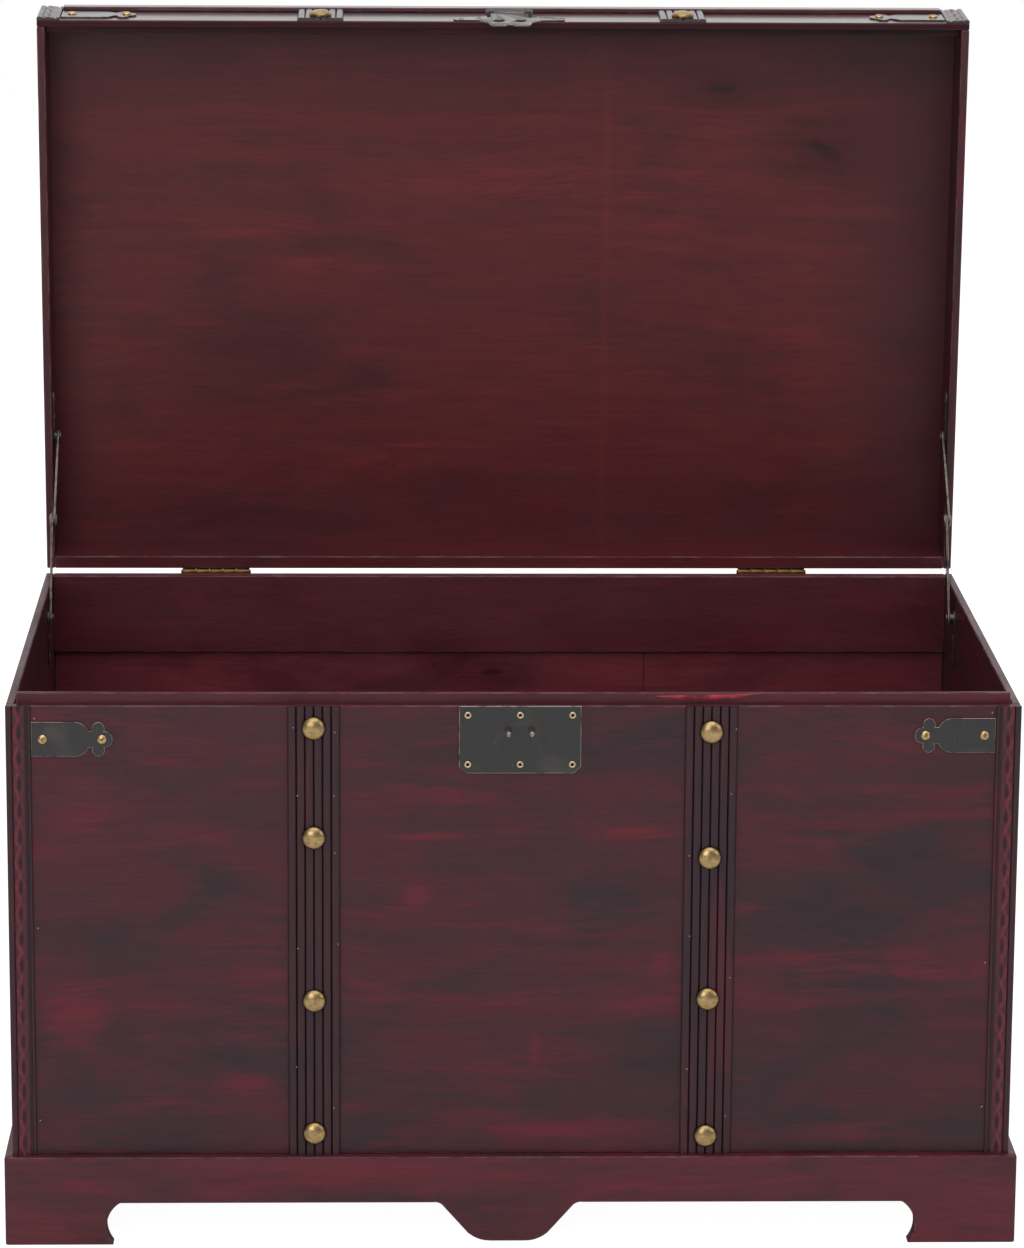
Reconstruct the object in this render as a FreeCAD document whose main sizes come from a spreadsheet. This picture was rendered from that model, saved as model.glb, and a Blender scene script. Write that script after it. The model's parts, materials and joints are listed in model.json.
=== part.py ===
"""A lidded wooden chest on a plinth, with a hasp, folding lid stays and drop handles.

Frames, all in millimetres, X to the right, Y to the back, Z up:
  case frame  origin at floor level under the middle of the case's front face
  lid frame   origin on the hinge axis, with the lid lying shut along -Y
The document's own origin is at floor level, in the middle of the room the open chest takes up.
"""
import FreeCAD, Part
import math
import os
import re
import Sketcher

# ---------------------------------------------------------------- driving sizes

SIZES = [
    # case
    ("case_width", 650.0, "over the side panels"),
    ("case_depth", 395.0, "front face to back face"),
    ("rim_height", 361.0, "floor to the case's rim"),
    ("wall", 5.5, "panels of the case"),
    ("lip_thickness", 4.0, "inner front board that keeps the lid in line"),
    ("lip_rise", 7.3, "how far the inner front board stands above the rim"),
    ("rail_height", 56.0, "inner boards along the rim, front and back"),
    ("back_rail_thickness", 4.5, "inner back board"),
    ("bottom_thickness", 6.0, "bottom board"),
    # plinth
    ("plinth_height", 60.0, "floor to the plinth's top"),
    ("plinth_thickness", 12.0, "plinth boards"),
    ("plinth_side_step", 5.0, "plinth proud of the case at each side"),
    ("plinth_front_step", 7.0, "plinth proud of the case in front"),
    ("plinth_back_step", 5.0, "plinth proud of the case at the back"),
    ("foot_width", 70.5, "each foot at the floor"),
    ("cutout_height", 28.5, "floor to the ceiling of the cut-outs"),
    ("cove_depth", 4.0, "how far the round end of a cut-out bites into the foot"),
    ("drop_half_top", 49.0, "half width of the centre drop at its root"),
    ("drop_half_slope", 43.0, "half width where the straight slope begins"),
    ("drop_half_foot", 26.0, "half width where the straight slope ends"),
    ("drop_half_flat", 11.0, "half width of the drop's flat end"),
    ("drop_middle", -2.5, "the drop's middle from the chest's middle"),
    ("drop_clear", 2.0, "floor to the drop"),
    ("drop_round", 22.0, "radius between the drop's slopes and its flat end"),
    ("drop_round_rise", 5.5, "drop's flat end to the top of that round"),
    ("drop_root_fall", 1.6, "ceiling of the cut-outs to where the slope begins"),
    ("cleat_width", 12.0, "bearer strips inside the plinth"),
    ("cleat_height", 16.0, "bearer strips inside the plinth"),
    # mouldings and battens
    ("trim_thickness", 2.5, "corner mouldings and battens"),
    ("trim_gap", 0.3, "corner mouldings to the brackets and the cap"),
    ("moulding_width", 16.0, "corner mouldings"),
    ("bead_width", 2.6, "the two beads of a corner moulding"),
    ("bead_crown", 0.4, "crown of the inner bead"),
    ("field_depth", 0.9, "sunk field between the beads"),
    ("reed_pitch", 5.6, "reeds of a batten"),
    ("reed_rise", 0.5, "crown of a reed"),
    ("groove_width", 0.9, "groove between two reeds"),
    ("groove_depth", 1.3, "groove between two reeds"),
    ("batten_left", 128.5, "chest's middle to the middle of the left case batten"),
    ("batten_right", 126.2, "chest's middle to the middle of the right case batten"),
    ("lid_reed_pitch", 5.35, "reeds of a lid batten"),
    ("lid_batten_left", 127.8, "chest's middle to the middle of the left lid batten"),
    ("lid_batten_right", 124.6, "chest's middle to the middle of the right lid batten"),
    # round-headed nails
    ("dome_radius", 7.7, "brass dome nails"),
    ("dome_height", 4.4, "brass dome nails"),
    ("dome_first_left", 14.3, "rim to the first dome nail, left"),
    ("dome_second_left", 0.712, "second dome nail, share of the front's height above the plinth, left"),
    ("dome_third_left", 0.349, "third dome nail, share of the front's height above the plinth, left"),
    ("dome_last_left", 15.0, "plinth to the last dome nail, left"),
    ("dome_first_right", 16.7, "rim to the first dome nail, right"),
    ("dome_second_right", 0.667, "second dome nail, share of the front's height above the plinth, right"),
    ("dome_third_right", 0.352, "third dome nail, share of the front's height above the plinth, right"),
    ("dome_last_right", 12.7, "plinth to the last dome nail, right"),
    ("lid_dome_height", 8.5, "lid's rim to its dome nails"),
    # metal corner brackets
    ("plate_thickness", 1.2, "lock plate and corner brackets"),
    ("bracket_half_height", 11.4, "corner bracket"),
    ("bracket_straight", 28.8, "straight part of a corner bracket"),
    ("bracket_neck", 36.7, "outer end to the neck"),
    ("bracket_half_neck", 5.4, "half width of the neck"),
    ("lobe_radius", 4.2, "side lobes of the trefoil"),
    ("lobe_centre", 42.9, "outer end to the side lobes' centre"),
    ("lobe_offset", 7.2, "side lobes' centre from the bracket's middle"),
    ("tip_radius", 5.0, "tip lobe of the trefoil"),
    ("tip_reach", 9.0, "side lobes' centre to the trefoil's tip"),
    ("bracket_drop_left", 21.9, "rim to the left bracket's middle"),
    ("bracket_drop_right", 19.4, "rim to the right bracket's middle"),
    ("lid_bracket_height", 20.0, "lid's rim to the bracket's middle"),
    ("bracket_nail_first", 7.2, "outer end to the first nail"),
    ("bracket_nail_second", 45.1, "outer end to the second nail"),
    ("nail_radius", 3.1, "bracket nails"),
    ("nail_height", 1.8, "bracket nails"),
    # lock plate
    ("lock_middle", 3.6, "lock plate's middle from the chest's middle"),
    ("lock_width", 78.4, "lock plate"),
    ("lock_height", 44.5, "lock plate"),
    ("lock_corner", 4.5, "cut corners of the lock plate"),
    ("rivet_radius", 2.25, "tubular rivets"),
    ("rivet_bore", 1.0, "hole in a tubular rivet"),
    ("rivet_height", 0.8, "tubular rivets"),
    ("rivet_span", 33.5, "rivets from the lock plate's middle, sideways"),
    ("rivet_margin", 6.0, "rivets from the lock plate's top and bottom edges"),
    ("stud_gap", 15.0, "between the two lock studs"),
    ("stud_drop", 17.0, "rim to the lock studs"),
    ("stud_radius", 2.1, "lock studs"),
    ("stud_length", 9.0, "lock studs, proud of the plate"),
    ("stud_eye", 1.25, "radius of the eye through a lock stud"),
    ("stud_eye_back", 2.7, "end of a lock stud to the middle of its eye"),
    # hinges
    ("hinge_gap", 2.6, "back face to the hinge axis, and the knuckles' radius"),
    ("hinge_length", 48.0, "hinge"),
    ("hinge_inset", 125.7, "side of the case to the middle of a hinge"),
    ("hinge_shift", 4.4, "both hinges to the left of even insets"),
    ("leaf_thickness", 1.2, "hinge leaf"),
    ("leaf_width", 20.0, "hinge axis to the leaf's free edge"),
    ("leaf_setback", 0.4, "knuckles to the plane part of a leaf"),
    ("knuckles", 5, "knuckles of a hinge"),
    ("knuckle_gap", 0.3, "between two knuckles"),
    ("pin_radius", 1.2, "hinge pins and hasp pin"),
    ("pin_head", 0.8, "heads of the hinge pins and the hasp pin"),
    ("pin_fit", 0.05, "radial running clearance of every pin"),
    ("screw_radius", 2.4, "wood screw heads"),
    ("screw_height", 0.8, "wood screw heads"),
    # lid
    ("lid_open", 86.5, "opening angle at rest, degrees"),
    ("rim_gap", 0.2, "between lid and case when shut"),
    ("lid_inset", 0.5, "lid's side faces inside the case's"),
    ("lid_height", 48.0, "rim to the top's outer face"),
    ("lid_front_thickness", 4.8, "front skirt"),
    ("lid_liner_thickness", 5.6, "rebated board inside the front skirt"),
    ("lid_rebate", 8.6, "rim to the rebated board"),
    ("lid_side_thickness", 5.5, "side skirts"),
    ("lid_back_thickness", 9.0, "back skirt"),
    ("lid_top_thickness", 5.0, "top board"),
    ("lid_fit", 0.6, "between the lip's ends and the side skirts"),
    ("cap_height", 10.0, "strip along the lid's upper front edge"),
    ("cap_thickness", 3.2, "strip along the lid's upper front edge"),
    # hasp
    ("hasp_pivot_height", 10.0, "lid's rim to the hasp pin"),
    ("hasp_pivot_proud", 5.0, "front skirt to the hasp pin"),
    ("hasp_tilt", -3.8, "lean of the hasp from the skirt, degrees; it droops and still clears the lock plate"),
    ("hasp_thickness", 1.2, "hasp"),
    ("hasp_barrel_radius", 2.4, "hasp barrel and bracket lugs"),
    ("hasp_half_barrel", 10.2, "half length of the hasp's barrel"),
    ("hasp_lug", 5.0, "width of a bracket lug"),
    ("hasp_play", 0.25, "between barrel and lugs, endwise"),
    ("hasp_reach", 41.0, "pin to the hasp's free edge"),
    ("hasp_half_neck", 13.0, "half width of the hasp's neck"),
    ("hasp_shoulder", 3.0, "pin to the shoulders that reach past the lugs"),
    ("hasp_half_lobes", 22.2, "half width over the side lobes"),
    ("hasp_half_end", 13.5, "half width of the free edge"),
    ("hasp_hole", 4.0, "radius of the hasp's holes"),
    ("hasp_notch", 3.2, "half width of the notch in the free edge"),
    ("hasp_fillet", 5.0, "hollow between the hasp's neck and its side lobes"),
    ("hasp_lobe_radius", 6.6, "the hasp's side lobes"),
    ("hasp_lobe_high", 11.5, "the hasp's holes to the upper end of its side lobes"),
    ("hasp_lobe_low", 3.4, "the hasp's holes to the lower end of its side lobes"),
    ("hasp_base_length", 77.8, "bracket plate"),
    ("hasp_screw_low", 6.2, "lid's rim to the bracket's outer screws"),
    ("hasp_screw_high", 12.3, "lid's rim to the bracket's inner screws"),
    ("hasp_base_low", 2.0, "lid's rim to the bracket plate"),
    ("hasp_base_end", 8.0, "height of the bracket plate's narrow ends"),
    ("hasp_base_height", 16.0, "bracket plate at its lugs"),
    ("hasp_base_thickness", 1.0, "bracket plate"),
    ("hasp_base_corner", 4.0, "rounded ends of the bracket plate"),
    # stays
    ("stay_lid_reach", 96.25, "hinge axis to the lid pivot, along the lid"),
    ("stay_lid_rise", 15.4, "lid's rim to the lid pivot"),
    ("stay_case_inset", 69.5, "back face to the case pivot"),
    ("stay_case_drop", 17.2, "rim to the case pivot"),
    ("stay_upper", 72.0, "lid pivot to elbow"),
    ("stay_lower", 71.07, "case pivot to elbow"),
    ("arm_width", 9.0, "stay arms"),
    ("arm_thickness", 1.5, "stay arms"),
    ("arm_gap", 0.3, "between the two arms of a stay, and from the wall plate to the first"),
    ("arm_pivot_radius", 2.0, "pivot studs of the stays"),
    ("arm_head_radius", 3.6, "heads of the stays' studs and rivets"),
    ("arm_head_height", 1.0, "heads of the stays' studs and rivets"),
    ("stay_plate_length", 34.0, "screw plates of the stays"),
    ("stay_plate_width", 12.0, "screw plates of the stays"),
    ("stay_plate_thickness", 1.0, "screw plates of the stays"),
    # drop handles
    ("handle_height", 232.0, "floor to the handle pivots"),
    ("handle_span", 84.0, "between the middles of a handle's lugs"),
    ("handle_plate_length", 112.0, "handle plate"),
    ("handle_plate_height", 26.0, "handle plate"),
    ("handle_screw_margin", 5.0, "end of a handle plate to its screws"),
    ("handle_lug_width", 7.0, "lug of a handle plate"),
    ("handle_lug_radius", 4.2, "lug of a handle plate"),
    ("bail_radius", 2.8, "bail of a handle"),
    ("bail_drop", 34.0, "pivots to the grip"),
    ("bail_corner", 9.0, "bends of the bail"),
    ("bail_facets", 16, "sides of the bail's bar between its round stubs"),
    ("bail_play", 1.2, "lug to the bail's leg"),
]
KNUCKLES, FACETS = (value for name, value, note in SIZES if name in ("knuckles", "bail_facets"))
NAMES = re.compile(r"\b(" + "|".join(name for name, value, note in SIZES) + r")\b")
LEFT = -1
RIGHT = 1

doc = FreeCAD.newDocument("Chest")
sheet = doc.addObject("Spreadsheet::Sheet", "Sizes")
parts = []


def fill_sheet():
    """One row a size: its note, its value and its name as the alias."""
    for row, (name, value, note) in enumerate(SIZES, start=1):
        sheet.set(f"A{row}", note)
        sheet.set(f"B{row}", str(value))
        sheet.setAlias(f"B{row}", name)
    doc.recompute()


def bound(text):
    """An expression in the sizes' names, with each name pointing at its cell."""
    return NAMES.sub(r"Sizes.\1", str(text))


def value(text):
    """The number that an expression in the sizes' names gives now."""
    number = sheet.evalExpression(bound(text))
    return float(getattr(number, "Value", number))


# ---------------------------------------------------------------- frames

OPEN_BACK = "(case_depth + hinge_gap + lid_height * sin(lid_open) - hinge_gap * cos(lid_open))"
MIDDLE = f"(({OPEN_BACK} - plate_thickness - stud_length) / 2)"
AXIS_Y = f"(case_depth + hinge_gap - {MIDDLE})"
AXIS_Z = "(rim_height + rim_gap)"
LID_FRONT = "(hinge_gap + case_depth)"


def seat(part, x, y, z, tilt=None):
    """Binds an object's origin, and its backward tilt about X in degrees, to the sizes."""
    if tilt is not None:
        part.Placement = FreeCAD.Placement(FreeCAD.Vector(), FreeCAD.Rotation(FreeCAD.Vector(-1, 0, 0), 45))
        part.setExpression("Placement.Rotation.Angle", bound(tilt))
    part.setExpression("Placement.Base.x", bound(x))
    part.setExpression("Placement.Base.y", bound(y))
    part.setExpression("Placement.Base.z", bound(z))
    return part


def place(part, x, y, z, tilt=None):
    """Seats a finished sub-part in the document's frame."""
    parts.append(seat(part, x, y, z, tilt))


def place_in_case(part, x="0", y="0", z="0"):
    place(part, x, f"({y}) - {MIDDLE}", z)


def place_in_lid(part, x="0", y="0", z="0", tilt="0"):
    """A point y, z of the shut lid, turned with the lid about the hinge axis."""
    across = f"{AXIS_Y} + ({y}) * cos(lid_open) + ({z}) * sin(lid_open)"
    up = f"{AXIS_Z} - ({y}) * sin(lid_open) + ({z}) * cos(lid_open)"
    place(part, x, across, up, f"lid_open + ({tilt})")


# ---------------------------------------------------------------- sketch helpers


def new_body(label):
    body = doc.addObject("PartDesign::Body", label)
    body.Label = label
    return body


def new_sketch(body, role, offset="0"):
    """A sketch on one of the body's origin planes, moved along the plane's normal."""
    plane = next(item for item in body.Origin.OriginFeatures if item.Role == role)
    sketch = body.newObject("Sketcher::SketchObject", f"{body.Name}_sketch")
    sketch.AttachmentSupport = [(plane, "")]
    sketch.MapMode = "FlatFace"
    sketch.setExpression("AttachmentOffset.Base.z", bound(offset))
    return sketch


def arc_between(start, end, radius, side):
    """The short arc from start to end that bulges to the left (side 1) or to the right (side -1)."""
    chord = end - start
    half = chord.Length / 2
    if radius < half * 0.9999:
        raise ValueError(f"an arc of radius {radius:.3f} can't span {chord.Length:.3f}")
    left = FreeCAD.Vector(-chord.y, chord.x, 0).normalize()
    sagitta = radius - math.sqrt(max(radius * radius - half * half, 0.0))
    return Part.Arc(start, (start + end) * 0.5 + left * side * sagitta, end)


def pin_point(sketch, geometry, end, x, y):
    """Ties one end of an edge to its x and y, both counted from the sketch's origin."""
    for kind, text in (("DistanceX", x), ("DistanceY", y)):
        index = sketch.addConstraint(Sketcher.Constraint(kind, -1, 1, geometry, end, value(text)))
        sketch.setExpression(f"Constraints[{index}]", bound(text))


def outline(sketch, corners):
    """A closed outline. A corner is (x, y), or (x, y, radius, side) where an arc leads up to it."""
    points = [FreeCAD.Vector(value(corner[0]), value(corner[1]), 0) for corner in corners]
    edges = []
    for index, corner in enumerate(corners):
        start, end = points[index - 1], points[index]
        if len(corner) == 2:
            edges.append(sketch.addGeometry(Part.LineSegment(start, end)))
        else:
            edges.append(sketch.addGeometry(arc_between(start, end, value(corner[2]), corner[3])))
    for index, corner in enumerate(corners):
        edge, before = edges[index], edges[index - 1]
        turned = len(corner) == 4 and corner[3] == 1
        turned_before = len(corners[index - 1]) == 4 and corners[index - 1][3] == 1
        start_end = 2 if turned else 1
        far_end = 1 if turned_before else 2
        sketch.addConstraint(Sketcher.Constraint("Coincident", before, far_end, edge, start_end))
    for index, corner in enumerate(corners):
        turned = len(corner) == 4 and corner[3] == 1
        pin_point(sketch, edges[index], 1 if turned else 2, corner[0], corner[1])
        if len(corner) == 4:
            radius = sketch.addConstraint(Sketcher.Constraint("Radius", edges[index], value(corner[2])))
            sketch.setExpression(f"Constraints[{radius}]", bound(corner[2]))


def rectangle(sketch, x0, y0, x1, y1):
    outline(sketch, [(x0, y0), (x1, y0), (x1, y1), (x0, y1)])


def circle(sketch, x, y, radius):
    centre = FreeCAD.Vector(value(x), value(y), 0)
    edge = sketch.addGeometry(Part.Circle(centre, FreeCAD.Vector(0, 0, 1), value(radius)))
    index = sketch.addConstraint(Sketcher.Constraint("Radius", edge, value(radius)))
    sketch.setExpression(f"Constraints[{index}]", bound(radius))
    pin_point(sketch, edge, 3, x, y)


def pad(body, sketch, length):
    feature = body.newObject("PartDesign::Pad", f"{body.Name}_pad")
    feature.Profile = sketch
    feature.setExpression("Length", bound(length))
    body.Tip = feature
    return feature


def cut(body, sketch, length=None, flip=False):
    """A pocket, through everything or of a given depth, that must take something away."""
    doc.recompute()
    before = body.Shape.Volume
    feature = body.newObject("PartDesign::Pocket", f"{body.Name}_pocket")
    feature.Profile = sketch
    feature.Reversed = flip
    if length is None:
        feature.Type = "ThroughAll"
        feature.Midplane = True
    else:
        feature.setExpression("Length", bound(length))
    body.Tip = feature
    doc.recompute()
    if not body.Shape.Volume < before:
        raise ValueError(f"{body.Label}: a pocket cuts nothing")
    return feature


def revolve(body, sketch, axis):
    feature = body.newObject("PartDesign::Revolution", f"{body.Name}_turn")
    feature.Profile = sketch
    feature.ReferenceAxis = (sketch, [axis])
    feature.Angle = 360
    body.Tip = feature
    return feature


def board(label, x0, x1, y0, y1, z0, z1):
    """A plain board between six planes."""
    body = new_body(label)
    sketch = new_sketch(body, "XY_Plane", z0)
    rectangle(sketch, x0, y0, x1, y1)
    pad(body, sketch, f"({z1}) - ({z0})")
    return body


def group(label, members):
    """One node from several like pieces that stay separate solids."""
    node = doc.addObject("Part::Compound", label)
    node.Label = label
    node.Links = members
    return node


def scatter(label, master, places):
    """One node with a copy of a small part at each place."""
    doc.recompute()
    node = doc.addObject("Part::Feature", label)
    node.Label = label
    copies = []
    for here in places:
        copy = master.Shape.copy()
        copy.Placement = here.multiply(master.Placement)
        copies.append(copy)
    node.Shape = Part.makeCompound(copies)
    return node


def spot(x, y, z, axis=(1, 0, 0), angle=0):
    base = FreeCAD.Vector(value(x), value(y), value(z))
    return FreeCAD.Placement(base, FreeCAD.Rotation(FreeCAD.Vector(*axis), angle))


# ---------------------------------------------------------------- plinth


def plinth_outline(half, drop):
    """A plinth board seen from outside: two feet with coved inner edges, and the drop if it has one."""
    inner = f"({half} - foot_width)"
    cove = "(cutout_height / 2 + cove_depth * 0.6)"
    corners = [
        (f"-{half}", "0"),
        (f"-{inner}", "0"),
        (f"-{inner} + cove_depth", "cutout_height", f"{cove} * 1.15", 1),
    ]
    if drop:
        root = "cutout_height - drop_root_fall"
        sole = "drop_clear + drop_round_rise"
        corners += [
            ("drop_middle - drop_half_top", "cutout_height"),
            ("drop_middle - drop_half_slope", root, "drop_half_top - drop_half_slope + 1.5", 1),
            ("drop_middle - drop_half_foot", sole),
            ("drop_middle - drop_half_flat", "drop_clear", "drop_round", -1),
            ("drop_middle + drop_half_flat", "drop_clear"),
            ("drop_middle + drop_half_foot", sole, "drop_round", -1),
            ("drop_middle + drop_half_slope", root),
            ("drop_middle + drop_half_top", "cutout_height", "drop_half_top - drop_half_slope + 1.5", 1),
        ]
    corners += [
        (f"{inner} - cove_depth", "cutout_height"),
        (f"{inner}", "0", f"{cove} * 1.15", 1),
        (half, "0"),
        (half, "plinth_height"),
        (f"-{half}", "plinth_height"),
    ]
    return corners


def plinth_board(label, half, drop=False):
    """A board with its outer face on the XZ plane and mitred ends, behind it along +Y."""
    body = new_body(label)
    face = new_sketch(body, "XZ_Plane")
    outline(face, plinth_outline(half, drop))
    slab = pad(body, face, "plinth_thickness")
    slab.Reversed = True
    for side in (LEFT, RIGHT):
        mitre = new_sketch(body, "XY_Plane")
        tip = f"{side} * {half}"
        toe = f"{side} * ({half} - plinth_thickness)"
        past = f"{side} * ({half} + 1)"
        outline(mitre, [(tip, "0"), (toe, "plinth_thickness"), (toe, "plinth_thickness + 1"),
                        (past, "plinth_thickness + 1"), (past, "0")])
        cut(body, mitre)
    return body


def plinth():
    half_width = "(case_width / 2 + plinth_side_step)"
    half_depth = "((case_depth + plinth_front_step + plinth_back_step) / 2)"
    middle = "(case_depth + plinth_back_step - plinth_front_step) / 2"
    place_in_case(plinth_board("plinth_front", half_width, drop=True), y="-plinth_front_step")
    back = plinth_board("plinth_back", half_width)
    back.Placement.Rotation = FreeCAD.Rotation(FreeCAD.Vector(0, 0, 1), 180)
    place_in_case(back, y="case_depth + plinth_back_step")
    for side, name in ((LEFT, "left"), (RIGHT, "right")):
        board_end = plinth_board(f"plinth_{name}", half_depth)
        board_end.Placement.Rotation = FreeCAD.Rotation(FreeCAD.Vector(0, 0, 1), side * 90)
        place_in_case(board_end, x=f"{side} * {half_width}", y=middle)


def cleats():
    """Bearer strips glued inside the plinth, which carry the bottom board."""
    inside = "(case_width / 2 + plinth_side_step - plinth_thickness)"
    front = "(plinth_thickness - plinth_front_step)"
    back = "(case_depth + plinth_back_step - plinth_thickness)"
    low, top = "plinth_height - cleat_height", "plinth_height"
    strips = [board("cleat_front", f"-{inside}", inside, front, f"{front} + cleat_width", low, top),
              board("cleat_back", f"-{inside}", inside, f"{back} - cleat_width", back, low, top)]
    place_in_case(group("cleats_long", strips))
    near, far = f"{front} + cleat_width", f"{back} - cleat_width"
    strips = [board("cleat_left", f"-{inside}", f"-({inside} - cleat_width)", near, far, low, top),
              board("cleat_right", f"{inside} - cleat_width", inside, near, far, low, top)]
    place_in_case(group("cleats_short", strips))


# ---------------------------------------------------------------- case

HALF = "(case_width / 2)"
INNER = "(case_width / 2 - wall)"
LID_HALF = "(case_width / 2 - lid_inset)"
LID_INNER = "(case_width / 2 - lid_inset - lid_side_thickness)"
HINGE_AT = {
    LEFT: "(-(case_width / 2 - hinge_inset) - hinge_shift)",
    RIGHT: "(case_width / 2 - hinge_inset - hinge_shift)",
}


def case_panels():
    inner_back = "case_depth - wall"
    place_in_case(board("bottom_board", f"-{INNER}", INNER, "wall", inner_back,
                        "plinth_height", "plinth_height + bottom_thickness"))
    place_in_case(board("front_panel", f"-{HALF}", HALF, "0", "wall", "plinth_height", "rim_height"))
    place_in_case(board("back_panel", f"-{INNER}", INNER, inner_back, "case_depth",
                        "plinth_height", "rim_height"))
    place_in_case(board("side_panel_left", f"-{HALF}", f"-{INNER}", "wall", "case_depth",
                        "plinth_height", "rim_height"))
    place_in_case(board("side_panel_right", INNER, HALF, "wall", "case_depth", "plinth_height", "rim_height"))
    lip_half = f"({LID_INNER} - lid_fit)"
    place_in_case(board("front_lip", f"-{lip_half}", lip_half, "wall", "wall + lip_thickness",
                        "rim_height + lip_rise - rail_height", "rim_height + lip_rise"))
    place_in_case(board("back_rail", f"-{INNER}", INNER, f"{inner_back} - back_rail_thickness", inner_back,
                        "rim_height - rail_height", "rim_height"))


def moulding(label, outer, length, low="0"):
    """A flat corner moulding: a rounded outer bead, a sunk field for the carving and an inner bead."""
    body = new_body(label)
    section = new_sketch(body, "XY_Plane", low)
    inward = -outer
    round_edge = "trim_thickness * 0.8"
    turn = -outer
    sunk = "-(trim_thickness - field_depth)"
    shoulder = "-(trim_thickness - bead_crown)"
    corners = [
        ("0", "0"),
        ("0", f"-(trim_thickness - {round_edge})"),
        (f"{inward} * {round_edge}", "-trim_thickness", round_edge, -turn),
        (f"{inward} * bead_width", "-trim_thickness"),
        (f"{inward} * bead_width", sunk),
        (f"{inward} * (moulding_width - bead_width)", sunk),
        (f"{inward} * (moulding_width - bead_width)", shoulder),
        (f"{inward} * moulding_width", shoulder, "bead_width * 0.9", -turn),
        (f"{inward} * moulding_width", "0"),
    ]
    outline(section, corners)
    pad(body, section, length)
    return body


def batten(label, length, low="0", pitch="reed_pitch"):
    """A reeded strip: six crowned reeds with narrow grooves between them, on the face at y = 0."""
    reeds = 6
    body = new_body(label)
    section = new_sketch(body, "XY_Plane", low)
    half = f"({pitch} * {reeds} / 2)"
    shoulder = "-(trim_thickness - reed_rise)"
    floor = "-(trim_thickness - groove_depth)"
    corners = [(half, "0"), (f"-{half}", "0")]
    for reed in range(reeds):
        left = start = f"(-{half} + {pitch} * {reed})"
        right = f"({start} + {pitch})"
        if reed:
            left = f"({start} + groove_width / 2)"
        if reed < reeds - 1:
            right = f"({start} + {pitch} - groove_width / 2)"
        if reed:
            corners.append((left, floor))
        corners.append((left, shoulder))
        corners.append((right, shoulder, pitch, -1))
        if reed < reeds - 1:
            corners.append((right, floor))
    outline(section, corners)
    pad(body, section, length)
    return body


def case_trim():
    height = "rim_height - plinth_height"
    for side, name in ((LEFT, "left"), (RIGHT, "right")):
        strip = moulding(f"corner_moulding_{name}", side, height, "plinth_height")
        place_in_case(strip, x=f"{side} * {HALF}")
        place_in_case(batten(f"front_batten_{name}", height, "plinth_height"), x=f"{side} * batten_{name}")


# ---------------------------------------------------------------- nails, rivets and screws


def domed_head(name, radius, height):
    """A round head seated on the XZ plane and standing out along -Y."""
    body = new_body(name)
    profile = new_sketch(body, "XY_Plane")
    sphere = f"(({radius}) ^ 2 + ({height}) ^ 2) / (2 * ({height}))"
    outline(profile, [("0", f"-({height})", sphere, 1), ("0", "0"), (radius, "0")])
    revolve(body, profile, "V_Axis")
    doc.recompute()
    return body


def faceted_head(name, radius, height, sides=12):
    """A small many-sided head with a sloping edge, seated on the XZ plane and standing out along -Y."""
    body = new_body(name)
    turns = [math.radians(360 * corner / sides) for corner in range(sides)]
    faces = []
    for level, width in (("0", radius), (f"{height}", f"{radius} * 0.62")):
        face = new_sketch(body, "XZ_Plane", level)
        outline(face, [(f"{width} * {math.cos(turn):.6f}", f"{width} * {math.sin(turn):.6f}")
                       for turn in turns])
        faces.append(face)
    loft = body.newObject("PartDesign::AdditiveLoft", f"{name}_loft")
    loft.Profile = faces[0]
    loft.Sections = faces[1:]
    loft.Ruled = True
    body.Tip = loft
    doc.recompute()
    return body


def tubular_rivet(name):
    body = new_body(name)
    profile = new_sketch(body, "XY_Plane")
    outline(profile, [("rivet_bore", "0"), ("rivet_radius", "0"), ("rivet_radius", "-rivet_height * 0.5"),
                      ("rivet_bore", "-rivet_height")])
    revolve(body, profile, "V_Axis")
    doc.recompute()
    return body


def eye_stud(name):
    """A stud with a sloping end along -Y and an eye through it from side to side."""
    body = new_body(name)
    profile = new_sketch(body, "XY_Plane")
    outline(profile, [("0", "-stud_length"), ("0", "0"), ("stud_radius", "0"),
                      ("stud_radius", "-(stud_length - stud_radius * 0.7)"),
                      ("stud_radius * 0.55", "-stud_length")])
    revolve(body, profile, "V_Axis")
    eye = new_sketch(body, "YZ_Plane")
    circle(eye, "-(stud_length - stud_eye_back)", "0", "stud_eye")
    cut(body, eye)
    return body


# ---------------------------------------------------------------- front metalwork


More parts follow.
